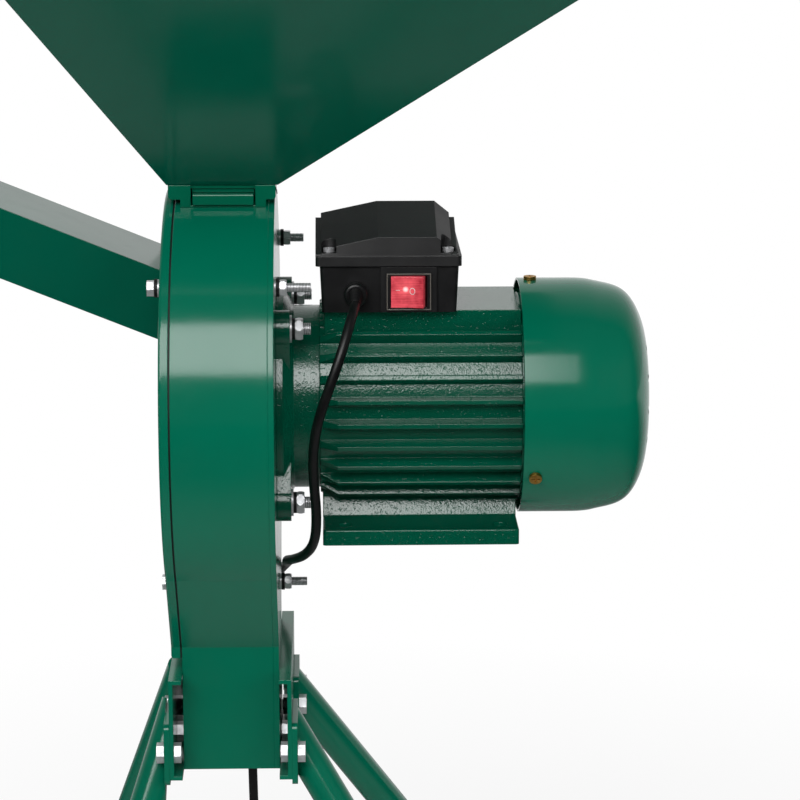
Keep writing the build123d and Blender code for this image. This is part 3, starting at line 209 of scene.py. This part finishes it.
# %% [markdown]
# ## Green enamel on sheet metal
#
# The drum, the hopper, the fan cowl and the stand are pressed and rolled sheet with a smooth stoved enamel.
# It reflects the lamps in soft bands, so the roughness matters more than the colour. A very shallow
# waviness keeps the bands from looking like chrome, and faint handling marks change the gloss a little. The
# hopper and the feed chute are painted a shade deeper, and so, by less, are the gate and its guide: this is
# painted shade, darker copies of the same enamel for the lesser light that reaches them.

# %% Smooth green
def smooth_green(name, tint, deep):
    paint = Finish(name, IOR=1.52)
    cloud = noise(paint, 9.0, 3.0)
    smudge = ramp(paint, noise(paint, 38.0, 4.0, 0.6), 0.45, 0.75)
    paint.set("Base Color", mix(paint, cloud, colour(*tint), colour(*deep)))
    paint.set("Roughness", 0.13 + 0.05 * smudge + 0.03 * cloud)
    peel = noise(paint, 520.0, 1.0)
    relief(paint, peel + 14.0 * noise(paint, 11.0, 1.0), 0.000018, edge=0.0009)
    return paint.material


enamel = smooth_green("green_enamel", (0, 109, 83), (0, 101, 76))
# painted shade: darker copies of the drum's enamel for the hopper and feed chute, and by less for the gate
# and its guide
hopper_painted_shade_enamel = smooth_green("green_enamel_hopper_painted_shade", (0, 88, 68), (0, 80, 61))
guide_painted_shade_enamel = smooth_green("green_enamel_guide_painted_shade", (0, 99, 73), (0, 90, 66))

# %% [markdown]
# ## Green paint on castings
#
# The motor's frame and end shields are castings under thick glossy paint. The sand of the mould leaves
# fine wrinkles and a few pits, which show only where a lamp is mirrored: there they break the reflection
# up. So the colour stays nearly even, the paint is glossy, and the relief is shallow.

# %% Glossy paint over castings


def cast_green():
    paint = Finish("green_casting_paint", IOR=1.65)
    where = coordinates(paint)
    cells = paint.node("ShaderNodeTexVoronoi", {"feature": "SMOOTH_F1"}, {
        "Vector": where, "Scale": 860.0, "Smoothness": 0.6, "Randomness": 1.0}, output="Distance")
    grain = noise(paint, 1400.0, 2.0, 0.6, where)
    pool = noise(paint, 420.0, 2.0, 0.5, where)
    pits = ramp(paint, noise(paint, 560.0, 1.0, 0.5, where), 0.62, 0.72)
    cloud = noise(paint, 14.0, 3.0, 0.5, where)
    paint.set("Base Color", mix(paint, cloud, colour(0, 84, 62), colour(0, 74, 54)))
    paint.set("Roughness", 0.09 + 0.06 * cloud)
    relief(paint, 0.7 * grain + 1.0 * cells + 1.0 * pool - 1.6 * pits, 0.00008, edge=0.0011)
    return paint.material


casting_paint = cast_green()

# %% [markdown]
# ## Metals
#
# The nuts and bolts are zinc plated: bright and slightly milky. On the threads the zinc is painted darker,
# as painted shade in their grooves. Machined steel inside the mill is darker and has fine turning lines
# round the shaft, which stretching the noise along one axis gives. The cowl's screws have the yellow plating
# that looks like brass.

# %% Zinc, steel, brass, copper and aluminium


def metal(name, tint, shade, rough, spread, grain, depth, stretch=None, edge=0.0004, bare=1.0):
    made = Finish(name, Metallic=bare)
    stain = ramp(made, noise(made, 160.0, 4.0, 0.6), 0.3, 0.75)
    fine = noise(made, grain, 3.0, 0.6, stretch=stretch)
    made.set("Base Color", mix(made, stain, colour(*tint), colour(*shade)))
    made.set("Roughness", rough + spread * stain + 0.08 * fine)
    relief(made, fine, depth, edge=edge)
    return made.material


zinc = metal("zinc_plate", (226, 226, 228), (192, 193, 196), 0.30, 0.14, 700.0, 0.00003, bare=0.65)
# painted shade: a darker zinc for the threads, for the shade in their grooves
thread_zinc_painted_shade = metal("thread_zinc_painted_shade", (150, 150, 152), (104, 104, 107), 0.36, 0.14, 700.0, 0.00003, bare=0.65)
turned_steel = metal("turned_steel", (176, 176, 178), (138, 138, 141), 0.30, 0.12, 420.0, 0.00004,
                     stretch=(0.2, 1.0, 1.0))
brass_plate = metal("yellow_zinc", (214, 172, 92), (160, 116, 52), 0.28, 0.16, 600.0, 0.00003)
copper_wire = metal("varnished_copper", (196, 112, 62), (150, 74, 38), 0.30, 0.10, 900.0, 0.0003,
                    stretch=(1.0, 0.25, 0.25))
cast_alloy = metal("cast_alloy", (188, 189, 192), (150, 151, 154), 0.42, 0.14, 500.0, 0.00008)
sheet_stack = metal("core_sheets", (120, 121, 124), (92, 93, 96), 0.45, 0.12, 260.0, 0.0002,
                    stretch=(6.0, 0.3, 0.3))

# %% [markdown]
# ## Plastics and rubber
#
# The terminal box is moulded plastic with a fine spark-eroded grain, dark grey on the lid and nearly black
# below. The switch is smoother. Rubber is duller still, and a dusting of talc shows on it as paler patches.

# %% Dark plastics and rubber


def moulded(name, tint, rough, grain, depth, talc=0.0, edge=0.0005, bend=1.47):
    made = Finish(name, IOR=bend)
    haze = ramp(made, noise(made, 45.0, 4.0, 0.6), 0.4, 0.8)
    fine = noise(made, grain, 2.0, 0.6)
    paler = tuple(min(255, c + 12 + talc) for c in tint)
    made.set("Base Color", mix(made, haze * 0.7, colour(*tint), colour(*paler)))
    made.set("Roughness", rough + 0.10 * haze + 0.06 * fine)
    relief(made, fine, depth, edge=edge)
    return made.material


lid_plastic = moulded("grained_lid_plastic", (17, 17, 18), 0.42, 1500.0, 0.00004, edge=0.0007, bend=1.66)
box_plastic = moulded("box_plastic", (18, 18, 19), 0.36, 1500.0, 0.00004)
switch_plastic = moulded("switch_plastic", (20, 20, 21), 0.26, 900.0, 0.00001)
gland_plastic = moulded("gland_plastic", (13, 13, 14), 0.30, 900.0, 0.00003)
fan_plastic = moulded("fan_plastic", (40, 41, 43), 0.38, 900.0, 0.00003)
pale_plastic = moulded("pale_plastic", (214, 213, 205), 0.34, 900.0, 0.00002)
black_rubber = moulded("black_rubber", (13, 13, 14), 0.55, 800.0, 0.00006, talc=6)
foot_rubber = moulded("foot_rubber", (24, 24, 25), 0.62, 600.0, 0.0001, talc=10)
cord_sheath = moulded("cord_sheath", (9, 9, 10), 0.34, 700.0, 0.00002, talc=2, edge=0.0)

# %% [markdown]
# ## The lit rocker
#
# The rocker is clear red plastic with a small lamp behind it, left of its middle. Fine ribs behind the lens
# show as level streaks, and the far end is painted darker as painted shade, in its colour and its glow. A
# round falling-off glow stands for the lamp itself.

# %% Lit red plastic
LAMP = place(90.3, 55.2, 88.2)
LENS_RIB = 1 / 0.9 / MM       # one streak in each 0.9 mm
SHADE_FROM, SHADE_TO = place(94, 0, 0).x, place(103.5, 0, 0).x
SPOT_FADE = 2.3 * MM, 0.7 * MM        # dark and full at these distances from the lamp
HALO_FADE = 12.5 * MM, 0.8 * MM


def lit_red():
    lens = Finish("lit_red_plastic", Roughness=0.14, IOR=1.49, Emission_Strength=1.0)
    where = coordinates(lens)
    away = lens.node("ShaderNodeVectorMath", {"operation": "DISTANCE"}, {0: where, 1: tuple(LAMP)},
                     output="Value")
    streak = ramp(lens, noise(lens, LENS_RIB, 2.0, 0.6, where, stretch=(0.06, 0.06, 1.0)), 0.35, 0.65)
    patch = ramp(lens, noise(lens, 190.0, 2.0, 0.5, where), 0.38, 0.62)
    across = lens.node("ShaderNodeSeparateXYZ", sockets={0: where}, output="X")
    # painted shade: the far end of the rocker is darkened in its colour and its glow
    shade = ramp(lens, across, SHADE_FROM, SHADE_TO)
    light = 0.30 + 0.34 * streak + 0.30 * patch - 0.30 * shade
    lens.set("Base Color", mix(lens, light, colour(122, 10, 28), colour(200, 70, 82)))
    spot = ramp(lens, away, *SPOT_FADE)
    halo = ramp(lens, away, *HALO_FADE) ** 2.0
    inner = mix(lens, light, (0.13, 0.008, 0.013, 1), (0.36, 0.050, 0.060, 1))
    warm = mix(lens, halo * 0.45, inner, (0.86, 0.17, 0.17, 1))
    lens.set("Emission Color", mix(lens, spot, warm, (1.0, 0.80, 0.76, 1)))
    return lens.material


red_lens = lit_red()

# %% [markdown]
# ## A finish for every solid
#
# Each solid keeps its shape from the construction model and gets its finish by name.

# %% Dress the solids
finishes = {
    enamel: ["mill_drum", "rear_plate", "front_cover", "fan_cowl", "front_channel", "rear_channel",
             "leg_front_far", "leg_front_near", "leg_rear_far", "leg_rear_near"],
    hopper_painted_shade_enamel: ["hopper", "feed_chute"],
    guide_painted_shade_enamel: ["gate_guide", "slide_gate"],
    casting_paint: ["motor_frame", "front_endshield", "rear_endshield"],
    zinc: ["cover_bolts", "cover_washers", "cover_nuts", "flange_bolts", "flange_washers", "flange_nuts",
           "hopper_screws", "leg_bolts", "leg_nuts", "hub_nut", "hub_washer", "lid_screws", "cord_clip"],
    turned_steel: ["sieve_screen", "hub_key", "beater_hub", "beater_blades", "motor_shaft", "front_bearing",
                   "rear_bearing"],
    brass_plate: ["cowl_screws"],
    copper_wire: ["stator_winding"],
    sheet_stack: ["stator_core"],
    cast_alloy: ["rotor_core", "capacitor"],
    fan_plastic: ["cooling_fan"],
    pale_plastic: ["terminal_block"],
    lid_plastic: ["box_lid"],
    box_plastic: ["box_base"],
    switch_plastic: ["switch_frame", "cord_tie"],
    gland_plastic: ["cable_gland", "mains_plug"],
    black_rubber: ["cover_gasket", "cover_spring_washers", "flange_spring_washers"],
    foot_rubber: ["rubber_feet"],
    cord_sheath: ["cord_lead", "cord_coil", "cord_tail"],
    red_lens: ["rocker"],
}
for material, names in finishes.items():
    for name in names:
        nodes[name].data.materials.clear()
        nodes[name].data.materials.append(material)
dressed = {name for names in finishes.values() for name in names}
print("finishes:", len(finishes), "solids without one:", sorted(set(nodes) - dressed))

# %% [markdown]
# ## The mains lead
#
# The lead leaves its gland, hangs down past the motor's flange, crosses under it to the far side along the
# rear plate, and comes down to the floor there. The rest of it is tied in a small coil. It is one smooth
# curve guided by a few points, with a round section. The coil changes to a smaller circle, goes up a row,
# and comes out again.

# %% Route of the lead
CORD_RADIUS = 3.5
lead_route = [
    (55.8, 61.0, 85.0), (55.8, 80.0, 85.0), (52.2, 99.2, 76.5), (46.5, 113.7, 59.2), (38.5, 119.0, 36.8),
    (29.7, 114.8, 11.4), (25.5, 105.0, -14.0), (25.9, 96.0, -39.0), (27.9, 88.0, -64.0),
    (26.6, 81.0, -86.0), (19.5, 64.0, -100.5), (9.0, 28.0, -114.5), (5.0, -14.0, -127.0),
    (4.4, -50.0, -140.0), (5.6, -86.0, -149.5), (2.5, -105.0, -158.0), (-8.5, -116.0, -172.5),
    (-17.5, -116.0, -196.0), (-23.0, -106.0, -222.0), (-25.0, -94.0, -258.0), (-24.5, -90.0, -312.0),
    (-23.5, -95.0, -368.0), (-23.0, -101.0, -424.0), (-24.0, -110.0, -474.0), (-27.0, -124.0, -511.0),
    (-31.0, -146.0, -536.0), (-33.5, -172.0, -546.5), (-34.5, -192.0, -546.5),
]
coil_middle = place(7.5, -204.0, -AXIS_HEIGHT)
INNER_TURN, OUTER_TURN = 35.0, 42.0
LOW_ROW, HIGH_ROW = 3.5, 10.5
TURNS, POINTS_PER_TURN = 3.5, 16
INWARD, UPWARD, OUTWARD = (0.85, 1.0), (1.65, 1.9), (2.4, 2.62)     # from and to, in turns
CORNER_PULL = 0.75      # how far the points go out so that the smooth curve keeps to its radius


def eased(value, start, end):
    """0 before start, 1 after end, and a smooth step between them."""
    share = min(1.0, max(0.0, (value - start) / (end - start)))
    return share * share * (3 - 2 * share)


coil_points = []
for count in range(1, int(TURNS * POINTS_PER_TURN)):
    turned = count / POINTS_PER_TURN
    radius = OUTER_TURN - (OUTER_TURN - INNER_TURN) * (eased(turned, *INWARD) - eased(turned, *OUTWARD))
    row = LOW_ROW + (HIGH_ROW - LOW_ROW) * eased(turned, *UPWARD)
    angle = pi - 2 * pi * turned
    reach = radius / cos(pi / POINTS_PER_TURN) ** CORNER_PULL
    coil_points.append(coil_middle + Vector((reach * cos(angle), reach * sin(angle), row)) * MM)
tail_points = [coil_middle + Vector(point) * MM for point in (
    (42.0, 0.0, 10.5), (43.0, -28.0, 13.5), (47.0, -54.0, 17.0), (53.0, -80.0, 17.0))]
cord_line = [place(*point) for point in lead_route] + [coil_middle + Vector((-OUTER_TURN, 0, LOW_ROW)) * MM]
cord_line += coil_points + tail_points

# %% The lead as one smooth curve


def smooth_curve(name, points, thickness, material):
    data = bpy.data.curves.new(name, "CURVE")
    data.dimensions = "3D"
    spline = data.splines.new("NURBS")
    spline.points.add(len(points) - 1)
    for slot, point in zip(spline.points, points):
        slot.co = (*point, 1.0)
    spline.order_u = 3
    spline.use_endpoint_u = True
    data.resolution_u = 6
    data.bevel_depth = thickness
    data.bevel_resolution = 5
    data.use_fill_caps = True
    data.materials.append(material)
    made = bpy.data.objects.new(name, data)
    bpy.context.scene.collection.objects.link(made)
    return made


mains_lead = smooth_curve("mains_lead", cord_line, CORD_RADIUS * MM, cord_sheath)
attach(mains_lead, "frame")
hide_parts("cord_lead", "cord_coil", "cord_tail")


def centreline(curve):
    """Points along a curve's own line, read from a copy with no thickness."""
    bare = curve.data.copy()
    bare.bevel_depth = 0.0
    probe = bpy.data.objects.new("probe", bare)
    mesh = bpy.data.meshes.new_from_object(probe)
    found = [v.co.copy() for v in mesh.vertices]
    bpy.data.meshes.remove(mesh)
    bpy.data.objects.remove(probe)
    bpy.data.curves.remove(bare)
    return found


lead_line = centreline(mains_lead)

# %% [markdown]
# ## Finishing a new piece
#
# Every new piece is a bmesh that is shaped in place, so its object stays at the scene's zero. One function
# turns it into an object, gives it its finish, and says which part of the machine it moves with.

# %% From a shape to a piece


def finished(name, shape, material, body):
    bmesh.ops.recalc_face_normals(shape, faces=shape.faces)
    mesh = bpy.data.meshes.new(name)
    shape.to_mesh(mesh)
    shape.free()
    mesh.materials.append(material)
    made = bpy.data.objects.new(name, mesh)
    bpy.context.scene.collection.objects.link(made)
    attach(made, body)
    print(name, len(mesh.polygons), "faces")
    return made


# %% [markdown]
# ## Nuts
#
# A nut is a six-sided prism whose corners are turned off in a lathe. Bevelling only the corner points gives
# those small bright facets. The plain prisms on the cover's bolts and on the motor's flange are replaced
# one for one.

# %% Chamfered nuts
M6_KEY, M6_HEIGHT, M8_KEY, M8_HEIGHT = 10.0, 5.0, 14.0, 5.5
M6_SEAT, M8_SEAT = 3.7, 13.7          # along the shaft, where the nuts sit on their spring washers
COVER_CIRCLE, COVER_ANGLES, COVER_ENDS = 139.0, (45, 135, 270), (25.0, 18.5, 20.0)
LUG_CIRCLE, LUG_ANGLES, LUG_END = 88.0, (45, 135, 225, 315), 24.5
ALONG_SHAFT = Matrix.Rotation(radians(90), 4, "Y")
CORNER_SHARE = 0.13     # of the nut's key size, turned off at each corner


def nuts(name, spots, key, height, replaced):
    """Hexagon nuts centred on the spots, with a corner towards the switch side."""
    shape = bmesh.new()
    for spot in spots:
        corner = key / sqrt(3) * MM
        seat = Matrix.Translation(spot) @ ALONG_SHAFT
        made = bmesh.ops.create_cone(shape, cap_ends=True, segments=6, radius1=corner, radius2=corner,
                                     depth=height * MM, matrix=seat)
        bmesh.ops.bevel(shape, geom=made["verts"], offset=CORNER_SHARE * key * MM, offset_type="OFFSET",
                        segments=1, profile=0.5, affect="VERTICES", material=-1)
    piece = finished(name, shape, zinc, "frame")
    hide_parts(replaced)


nuts("cover_hexagon_nuts", [on_round(M6_SEAT + M6_HEIGHT / 2, COVER_CIRCLE, a) for a in COVER_ANGLES],
     M6_KEY, M6_HEIGHT, "cover_nuts")
nuts("flange_hexagon_nuts", [on_round(M8_SEAT + M8_HEIGHT / 2, LUG_CIRCLE, a) for a in LUG_ANGLES],
     M8_KEY, M8_HEIGHT, "flange_nuts")

# %% [markdown]
# ## Screw threads
#
# The bolts are plain rods in the construction model. A thread is a small triangle that goes round the rod
# and forward at the same time, which is a spin with a push along the axis at every step.

# %% Threads on the bolts' ends
THREAD_STEPS = 20
RIDGE_WIDTH = 0.9       # of one pitch
ROOT_BELOW, CREST_ABOVE = 0.15, 0.24          # from the bolt's own surface
M6_THREAD, M8_THREAD = (3.0, 1.0), (4.0, 1.25)          # radius and pitch


def threads(name, ends, start, radius, pitch):
    """Thread ridges from start to each bolt's own end."""
    shape = bmesh.new()
    for middle, end in ends:
        turns = (end - start) / pitch - RIDGE_WIDTH
        root, crest = radius - ROOT_BELOW, radius + CREST_ABOVE
        low = middle + Vector((start, 0, 0)) * MM
        profile = [shape.verts.new(low + Vector((x, 0, z)) * MM) for x, z in (
            (0.05, root), (0.45 * pitch, crest), (0.85 * pitch, root))]
        face = shape.faces.new(profile)
        steps = int(turns * THREAD_STEPS)
        bmesh.ops.spin(shape, geom=[*face.verts, *face.edges, face], cent=low, axis=(1, 0, 0),
                       dvec=(pitch / THREAD_STEPS * MM, 0, 0), angle=2 * pi * steps / THREAD_STEPS,
                       steps=steps, use_merge=False, use_normal_flip=False, use_duplicate=False)
    # the ridges get the darker zinc, which is painted shade
    finished(name, shape, thread_zinc_painted_shade, "frame")


cover_ends = [(on_round(0, COVER_CIRCLE, a), end) for a, end in zip(COVER_ANGLES, COVER_ENDS)]
lug_ends = [(on_round(0, LUG_CIRCLE, a), LUG_END) for a in LUG_ANGLES]
threads("cover_bolt_threads", cover_ends, M6_SEAT + M6_HEIGHT, *M6_THREAD)
threads("flange_bolt_threads", lug_ends, M8_SEAT + M8_HEIGHT, *M8_THREAD)

# %% [markdown]
# ## Marks on the rocker
#
# The rocker carries the usual bar and ring. Both are thin raised print that lies on the lens, so a ray is
# sent to the lens to find the surface and the way it faces, and the mark is laid flat on it. The ring is a
# small circle spun about the mark's middle, and the bar is a box with softened edges.

# %% Bar and ring
PRINT_HEIGHT = 0.12
RING_STRETCH = 1.25
OUT_IN_FRONT = 200.0        # where the rays start, well clear of the machine
white_print = moulded("white_print", (226, 214, 212), 0.35, 900.0, 0.00001, edge=0.0)


def laid_on(node, along, height):
    """A frame of reference on the node's front face at that place, with its Z axis out of the face."""
    start = place(along, OUT_IN_FRONT, height)
    _, spot, facing, _ = node.ray_cast(start, Vector((0, 1, 0)))
    return Matrix.Translation(spot) @ facing.to_track_quat("Z", "Y").to_matrix().to_4x4()


def ring_mark(along, height, radius, width):
    shape = bmesh.new()
    on_ring = Matrix.Translation((radius * MM, 0, 0)) @ Matrix.Rotation(pi / 2, 4, "X")
    small = bmesh.ops.create_circle(shape, segments=8, radius=width / 2 * MM, matrix=on_ring)
    bmesh.ops.spin(shape, geom=small["verts"] + shape.edges[:], cent=(0, 0, 0), axis=(0, 0, 1),
                   dvec=(0, 0, 0), angle=2 * pi, steps=28, use_merge=True)
    bmesh.ops.scale(shape, vec=(1.0, RING_STRETCH, 2 * PRINT_HEIGHT / width), verts=shape.verts)
    bmesh.ops.transform(shape, matrix=laid_on(nodes["rocker"], along, height), verts=shape.verts)
    finished("rocker_ring_mark", shape, white_print, "rocker")


def bar_mark(along, height, length, width):
    shape = bmesh.new()
    bmesh.ops.create_cube(shape, size=MM)
    bmesh.ops.scale(shape, vec=(width, length, 2 * PRINT_HEIGHT), verts=shape.verts)
    bmesh.ops.bevel(shape, geom=shape.edges[:], offset=0.08 * MM, offset_type="OFFSET", segments=2,
                    profile=0.5, affect="EDGES", material=-1)
    bmesh.ops.transform(shape, matrix=laid_on(nodes["rocker"], along, height), verts=shape.verts)
    finished("rocker_bar_mark", shape, white_print, "rocker")


ring_mark(95.0, 87.0, 1.75, 0.42)
bar_mark(85.0, 87.6, 0.32, 3.0)

# %% [markdown]
# ## Painted highlight round the switch
#
# A pale frame round the switch's bezel is a painted highlight: it stands for the reflection along the
# bezel's edge. A flat sheet as large as the bezel is inset, its middle is taken out, and the frame that is
# left gets a thickness and bevelled edges.

# %% Painted highlight rim
# painted highlight: a pale frame that stands for the reflection along the bezel's edge
rim_painted_highlight = moulded("rim_painted_highlight", (92, 88, 82), 0.22, 900.0, 0.00001, edge=0.0)
BEZEL_FACE, BEZEL_ALONG, BEZEL_LEVEL = 54.1, 92.6, 86.2
BEZEL_LENGTH, BEZEL_HEIGHT, RIM_WIDTH, RIM_PROUD = 31.0, 26.0, 0.75, 0.25
RIM_BACK, RIM_BEVEL = 0.2, 0.15     # smaller than the bezel by this, and the softening of its edges

shape = bmesh.new()
bmesh.ops.create_grid(shape, x_segments=1, y_segments=1, size=0.5 * MM,
                      matrix=Matrix.Rotation(pi / 2, 4, "X"))
bmesh.ops.scale(shape, vec=(BEZEL_LENGTH - RIM_BACK, 1, BEZEL_HEIGHT - RIM_BACK), verts=shape.verts)
whole = shape.faces[:]
bmesh.ops.inset_region(shape, faces=whole, thickness=RIM_WIDTH * MM, use_boundary=True,
                       use_even_offset=True)
bmesh.ops.delete(shape, geom=whole, context="FACES")
bmesh.ops.solidify(shape, geom=shape.faces[:], thickness=2 * RIM_PROUD * MM)
bmesh.ops.translate(shape, vec=place(BEZEL_ALONG, BEZEL_FACE, BEZEL_LEVEL), verts=shape.verts)
middle = sum(v.co.y for v in shape.verts) / len(shape.verts)
bmesh.ops.translate(shape, vec=(0, place(0, BEZEL_FACE, 0).y - middle, 0), verts=shape.verts)
bmesh.ops.bevel(shape, geom=shape.edges[:], offset=RIM_BEVEL * MM, offset_type="OFFSET", segments=2,
                profile=0.5, affect="EDGES", material=-1)
finished("switch_rim_painted_highlight", shape, rim_painted_highlight, "frame")

# %% [markdown]
# ## Sleeves on the lead
#
# Where the lead leaves the gland and where it enters the plug, a tapered rubber sleeve keeps it from
# kinking. A ring of points is pushed along the lead's own line and made smaller as it goes, with shallow
# grooves.

# %% Tapered sleeves
GROOVE_DEPTH, GROOVE_FROM = 0.09, 0.6         # parts of the sleeve's radius and of one groove's run


def point_on(line, distance):
    """The point at that distance along a line, and the line's direction there."""
    for start, end in zip(line, line[1:]):
        run = (end - start).length
        if distance <= run:
            return start + (end - start) * (distance / run), (end - start).normalized()
        distance -= run
    return line[-1], (line[-1] - line[-2]).normalized()


def sleeve(name, line, start, end, thick, thin, grooves, material, sides=24, steps=36):
    """Round skin along part of a line, tapering from thick to thin; lengths are in millimetres."""
    shape = bmesh.new()
    rim = bmesh.ops.create_circle(shape, segments=sides, radius=1.0, cap_ends=True)["verts"]
    edges = shape.edges[:]
    before = Matrix.Identity(4)
    for step in range(steps + 1):
        share = step / steps
        centre, direction = point_on(line, (start + (end - start) * share) * MM)
        cut = GROOVE_DEPTH if (share * grooves) % 1.0 > GROOVE_FROM else 0.0
        radius = (thick + (thin - thick) * share) * (1.0 - cut)
        after = Matrix.Translation(centre) @ direction.to_track_quat("Z", "Y").to_matrix().to_4x4()
        after = after @ Matrix.Scale(radius * MM, 4)
        if step:
            grown = bmesh.ops.extrude_edge_only(shape, edges=edges)["geom"]
            rim = [v for v in grown if isinstance(v, bmesh.types.BMVert)]
            edges = [e for e in grown if isinstance(e, bmesh.types.BMEdge) and e.is_boundary]
        bmesh.ops.transform(shape, matrix=after @ before.inverted(), verts=rim)
        before = after
    bmesh.ops.edgeloop_fill(shape, edges=edges)
    return finished(name, shape, material, "frame")


gland_sleeve = sleeve("gland_sleeve", lead_line, -0.5, 22.0, 5.0, 3.75, 0, gland_plastic)
from_plug = lead_line[::-1]
plug_sleeve = sleeve("plug_sleeve", from_plug, 0.0, 30.0, 6.4, 3.9, 6, gland_plastic, steps=60)

# %% [markdown]
# ## A loose end of the gate's seal
#
# A thin rubber strip lies between the gate's guide and the hopper. One end of it sticks out behind the
# guide.

# %% Seal end
seal_line = [place(*point) for point in (
    (-2.0, 36.0, 160.2), (-0.6, 36.0, 159.0), (0.7, 36.0, 157.0), (1.5, 36.0, 154.4), (1.8, 36.0, 151.6))]
sleeve("gate_seal_end", seal_line, 0.0, 9.0, 0.55, 0.35, 0, black_rubber, sides=8, steps=8)

# %% [markdown]
# ## The studio
#
# Gloss is drawn by what the machine reflects, so the studio is planned by direction. One wide soft box in
# front and above draws the bright band along the drum, and it stops short of the motor's end, so the band
# fades on the cowl. A pale wall behind the machine brightens only the rims. The rest stays dark, and fill
# lamps that shine but aren't mirrored bring the paint to its own colour.

# %% What is seen and what gives light


def seen_directly(finish):
    """Two wires: 1 for what the camera sees or looks through to, and 1 for what gloss shows."""
    path = finish.tree.nodes.new("ShaderNodeLightPath")
    labels = ("Is Camera Ray", "Is Glossy Ray", "Is Transmission Ray")
    camera_ray, glossy_ray, clear_ray = [Wire(finish, path.outputs[label]) for label in labels]
    return camera_ray + clear_ray, glossy_ray


# %% [markdown]
# ## The floor
#
# The floor is one large sheet. Under the machine it is a plain pale surface that takes the shadow, and
# further out it turns to clean white for the camera only, which keeps the ground white with no stronger
# lamp. Gloss sees a dim floor near the machine and a bright one far behind it.

# %% Floor
FLOOR_HALF = 15.0
WHITE_FROM, WHITE_AT = 0.35, 1.1      # metres from the machine's middle
NEAR_MIRRORED, MIRRORED_BETWEEN = 0.18, (0.35, 0.85)
FAR_MIRRORED, WHITE_BEHIND = 0.9, (0.5, 1.8)
WHITE_SHARE = 0.78        # of the floor's look under the machine that is plain white

floor_mesh = bpy.data.meshes.new("floor")
sheet = bmesh.new()
bmesh.ops.create_grid(sheet, x_segments=1, y_segments=1, size=FLOOR_HALF)
sheet.to_mesh(floor_mesh)
sheet.free()
floor = bpy.data.objects.new("floor", floor_mesh)
bpy.context.scene.collection.objects.link(floor)

ground = Finish("pale_floor", Roughness=0.8, Base_Color=(0.80, 0.80, 0.80, 1))
out_from_middle = ground.node("ShaderNodeVectorMath", {"operation": "LENGTH"}, {0: coordinates(ground)},
                              output="Value")
white_share = WHITE_SHARE + (1 - WHITE_SHARE) * ramp(ground, out_from_middle, WHITE_FROM, WHITE_AT)
backwards = ground.node("ShaderNodeSeparateXYZ", sockets={0: coordinates(ground)}, output="Y")
mirrored_level = (NEAR_MIRRORED * (1 - ramp(ground, out_from_middle, *MIRRORED_BETWEEN))
                  + FAR_MIRRORED * ramp(ground, backwards, *WHITE_BEHIND))
white_seen, gloss_seen = seen_directly(ground)
lit = ground.node("ShaderNodeEmission", sockets={
    "Color": (1, 1, 1, 1), "Strength": 1 - gloss_seen * (1 - mirrored_level)})
both = ground.node("ShaderNodeMixShader", sockets={
    0: (white_seen + gloss_seen) * white_share, 1: Wire(ground, ground.shader.outputs[0]), 2: lit})
ground.feed(ground.tree.nodes["Material Output"].inputs["Surface"], both)
floor_mesh.materials.append(ground.material)

# %% [markdown]
# ## The room
#
# A world's colour can depend on the direction looked in. The part of the direction that points away from
# the camera, raised to a power, stands for a wall that is brightest straight behind the machine.

# %% World
BACK_WALL, WALL_FALL, FRONT_ROOM, GLOSS_EXTRA = 0.8, 1.1, 0.05, 0.01


class Room(Finish):
    """The world's network, written in the same way as a finish."""

    def __init__(self, name):
        self.world = bpy.data.worlds.new(name)
        self.world.use_nodes = True
        self.tree = self.world.node_tree
        self.shader = self.tree.nodes["Background"]


room = Room("studio")
direction = room.node("ShaderNodeTexCoord", output="Generated")
backwards = room.node("ShaderNodeSeparateXYZ", sockets={0: direction}, output="Y")
behind = room.node("ShaderNodeMath", {"operation": "MAXIMUM"}, {0: backwards, 1: 0.0})
in_front = room.node("ShaderNodeMath", {"operation": "LESS_THAN"}, {0: backwards, 1: 0.0})
glow = BACK_WALL * behind ** WALL_FALL + FRONT_ROOM * in_front
white_seen, gloss_seen = seen_directly(room)
room.set("Color", (1, 1, 1, 1))
room.set("Strength", glow * (1 - white_seen) + white_seen + GLOSS_EXTRA * gloss_seen)
bpy.context.scene.world = room.world

# %% [markdown]
# ## Soft boxes
#
# An area lamp's size and distance set how long and how wide its band is. The fill lamps are made in the
# same way, but gloss doesn't show them.

# %% Lamps


def soft_box(name, aimed_at, away, azimuth, elevation, width, height, watts, mirrored=True):
    """Rectangular lamp at that distance and direction from a point, facing it."""
    data = bpy.data.lights.new(name, "AREA")
    data.shape, data.size, data.size_y, data.energy = "RECTANGLE", width, height, watts
    made = bpy.data.objects.new(name, data)
    bpy.context.scene.collection.objects.link(made)
    a, e = radians(azimuth), radians(elevation)
    out = Vector((sin(a) * cos(e), -cos(a) * cos(e), sin(e)))
    made.location = aimed_at + out * away
    made.rotation_mode = "QUATERNION"
    made.rotation_quaternion = (-out).to_track_quat("-Z", "Y")
    made.visible_glossy = mirrored


soft_box("main_soft_box", place(-715, 0, 0), 2.4, 0, 37.6, 2.2, 1.15, 48)
soft_box("motor_side_fill", place(60, 0, 0), 2.2, 55, 18, 1.5, 1.5, 15, mirrored=False)
soft_box("back_fill", place(60, 0, 0), 2.4, 205, 35, 1.6, 1.6, 26, mirrored=False)
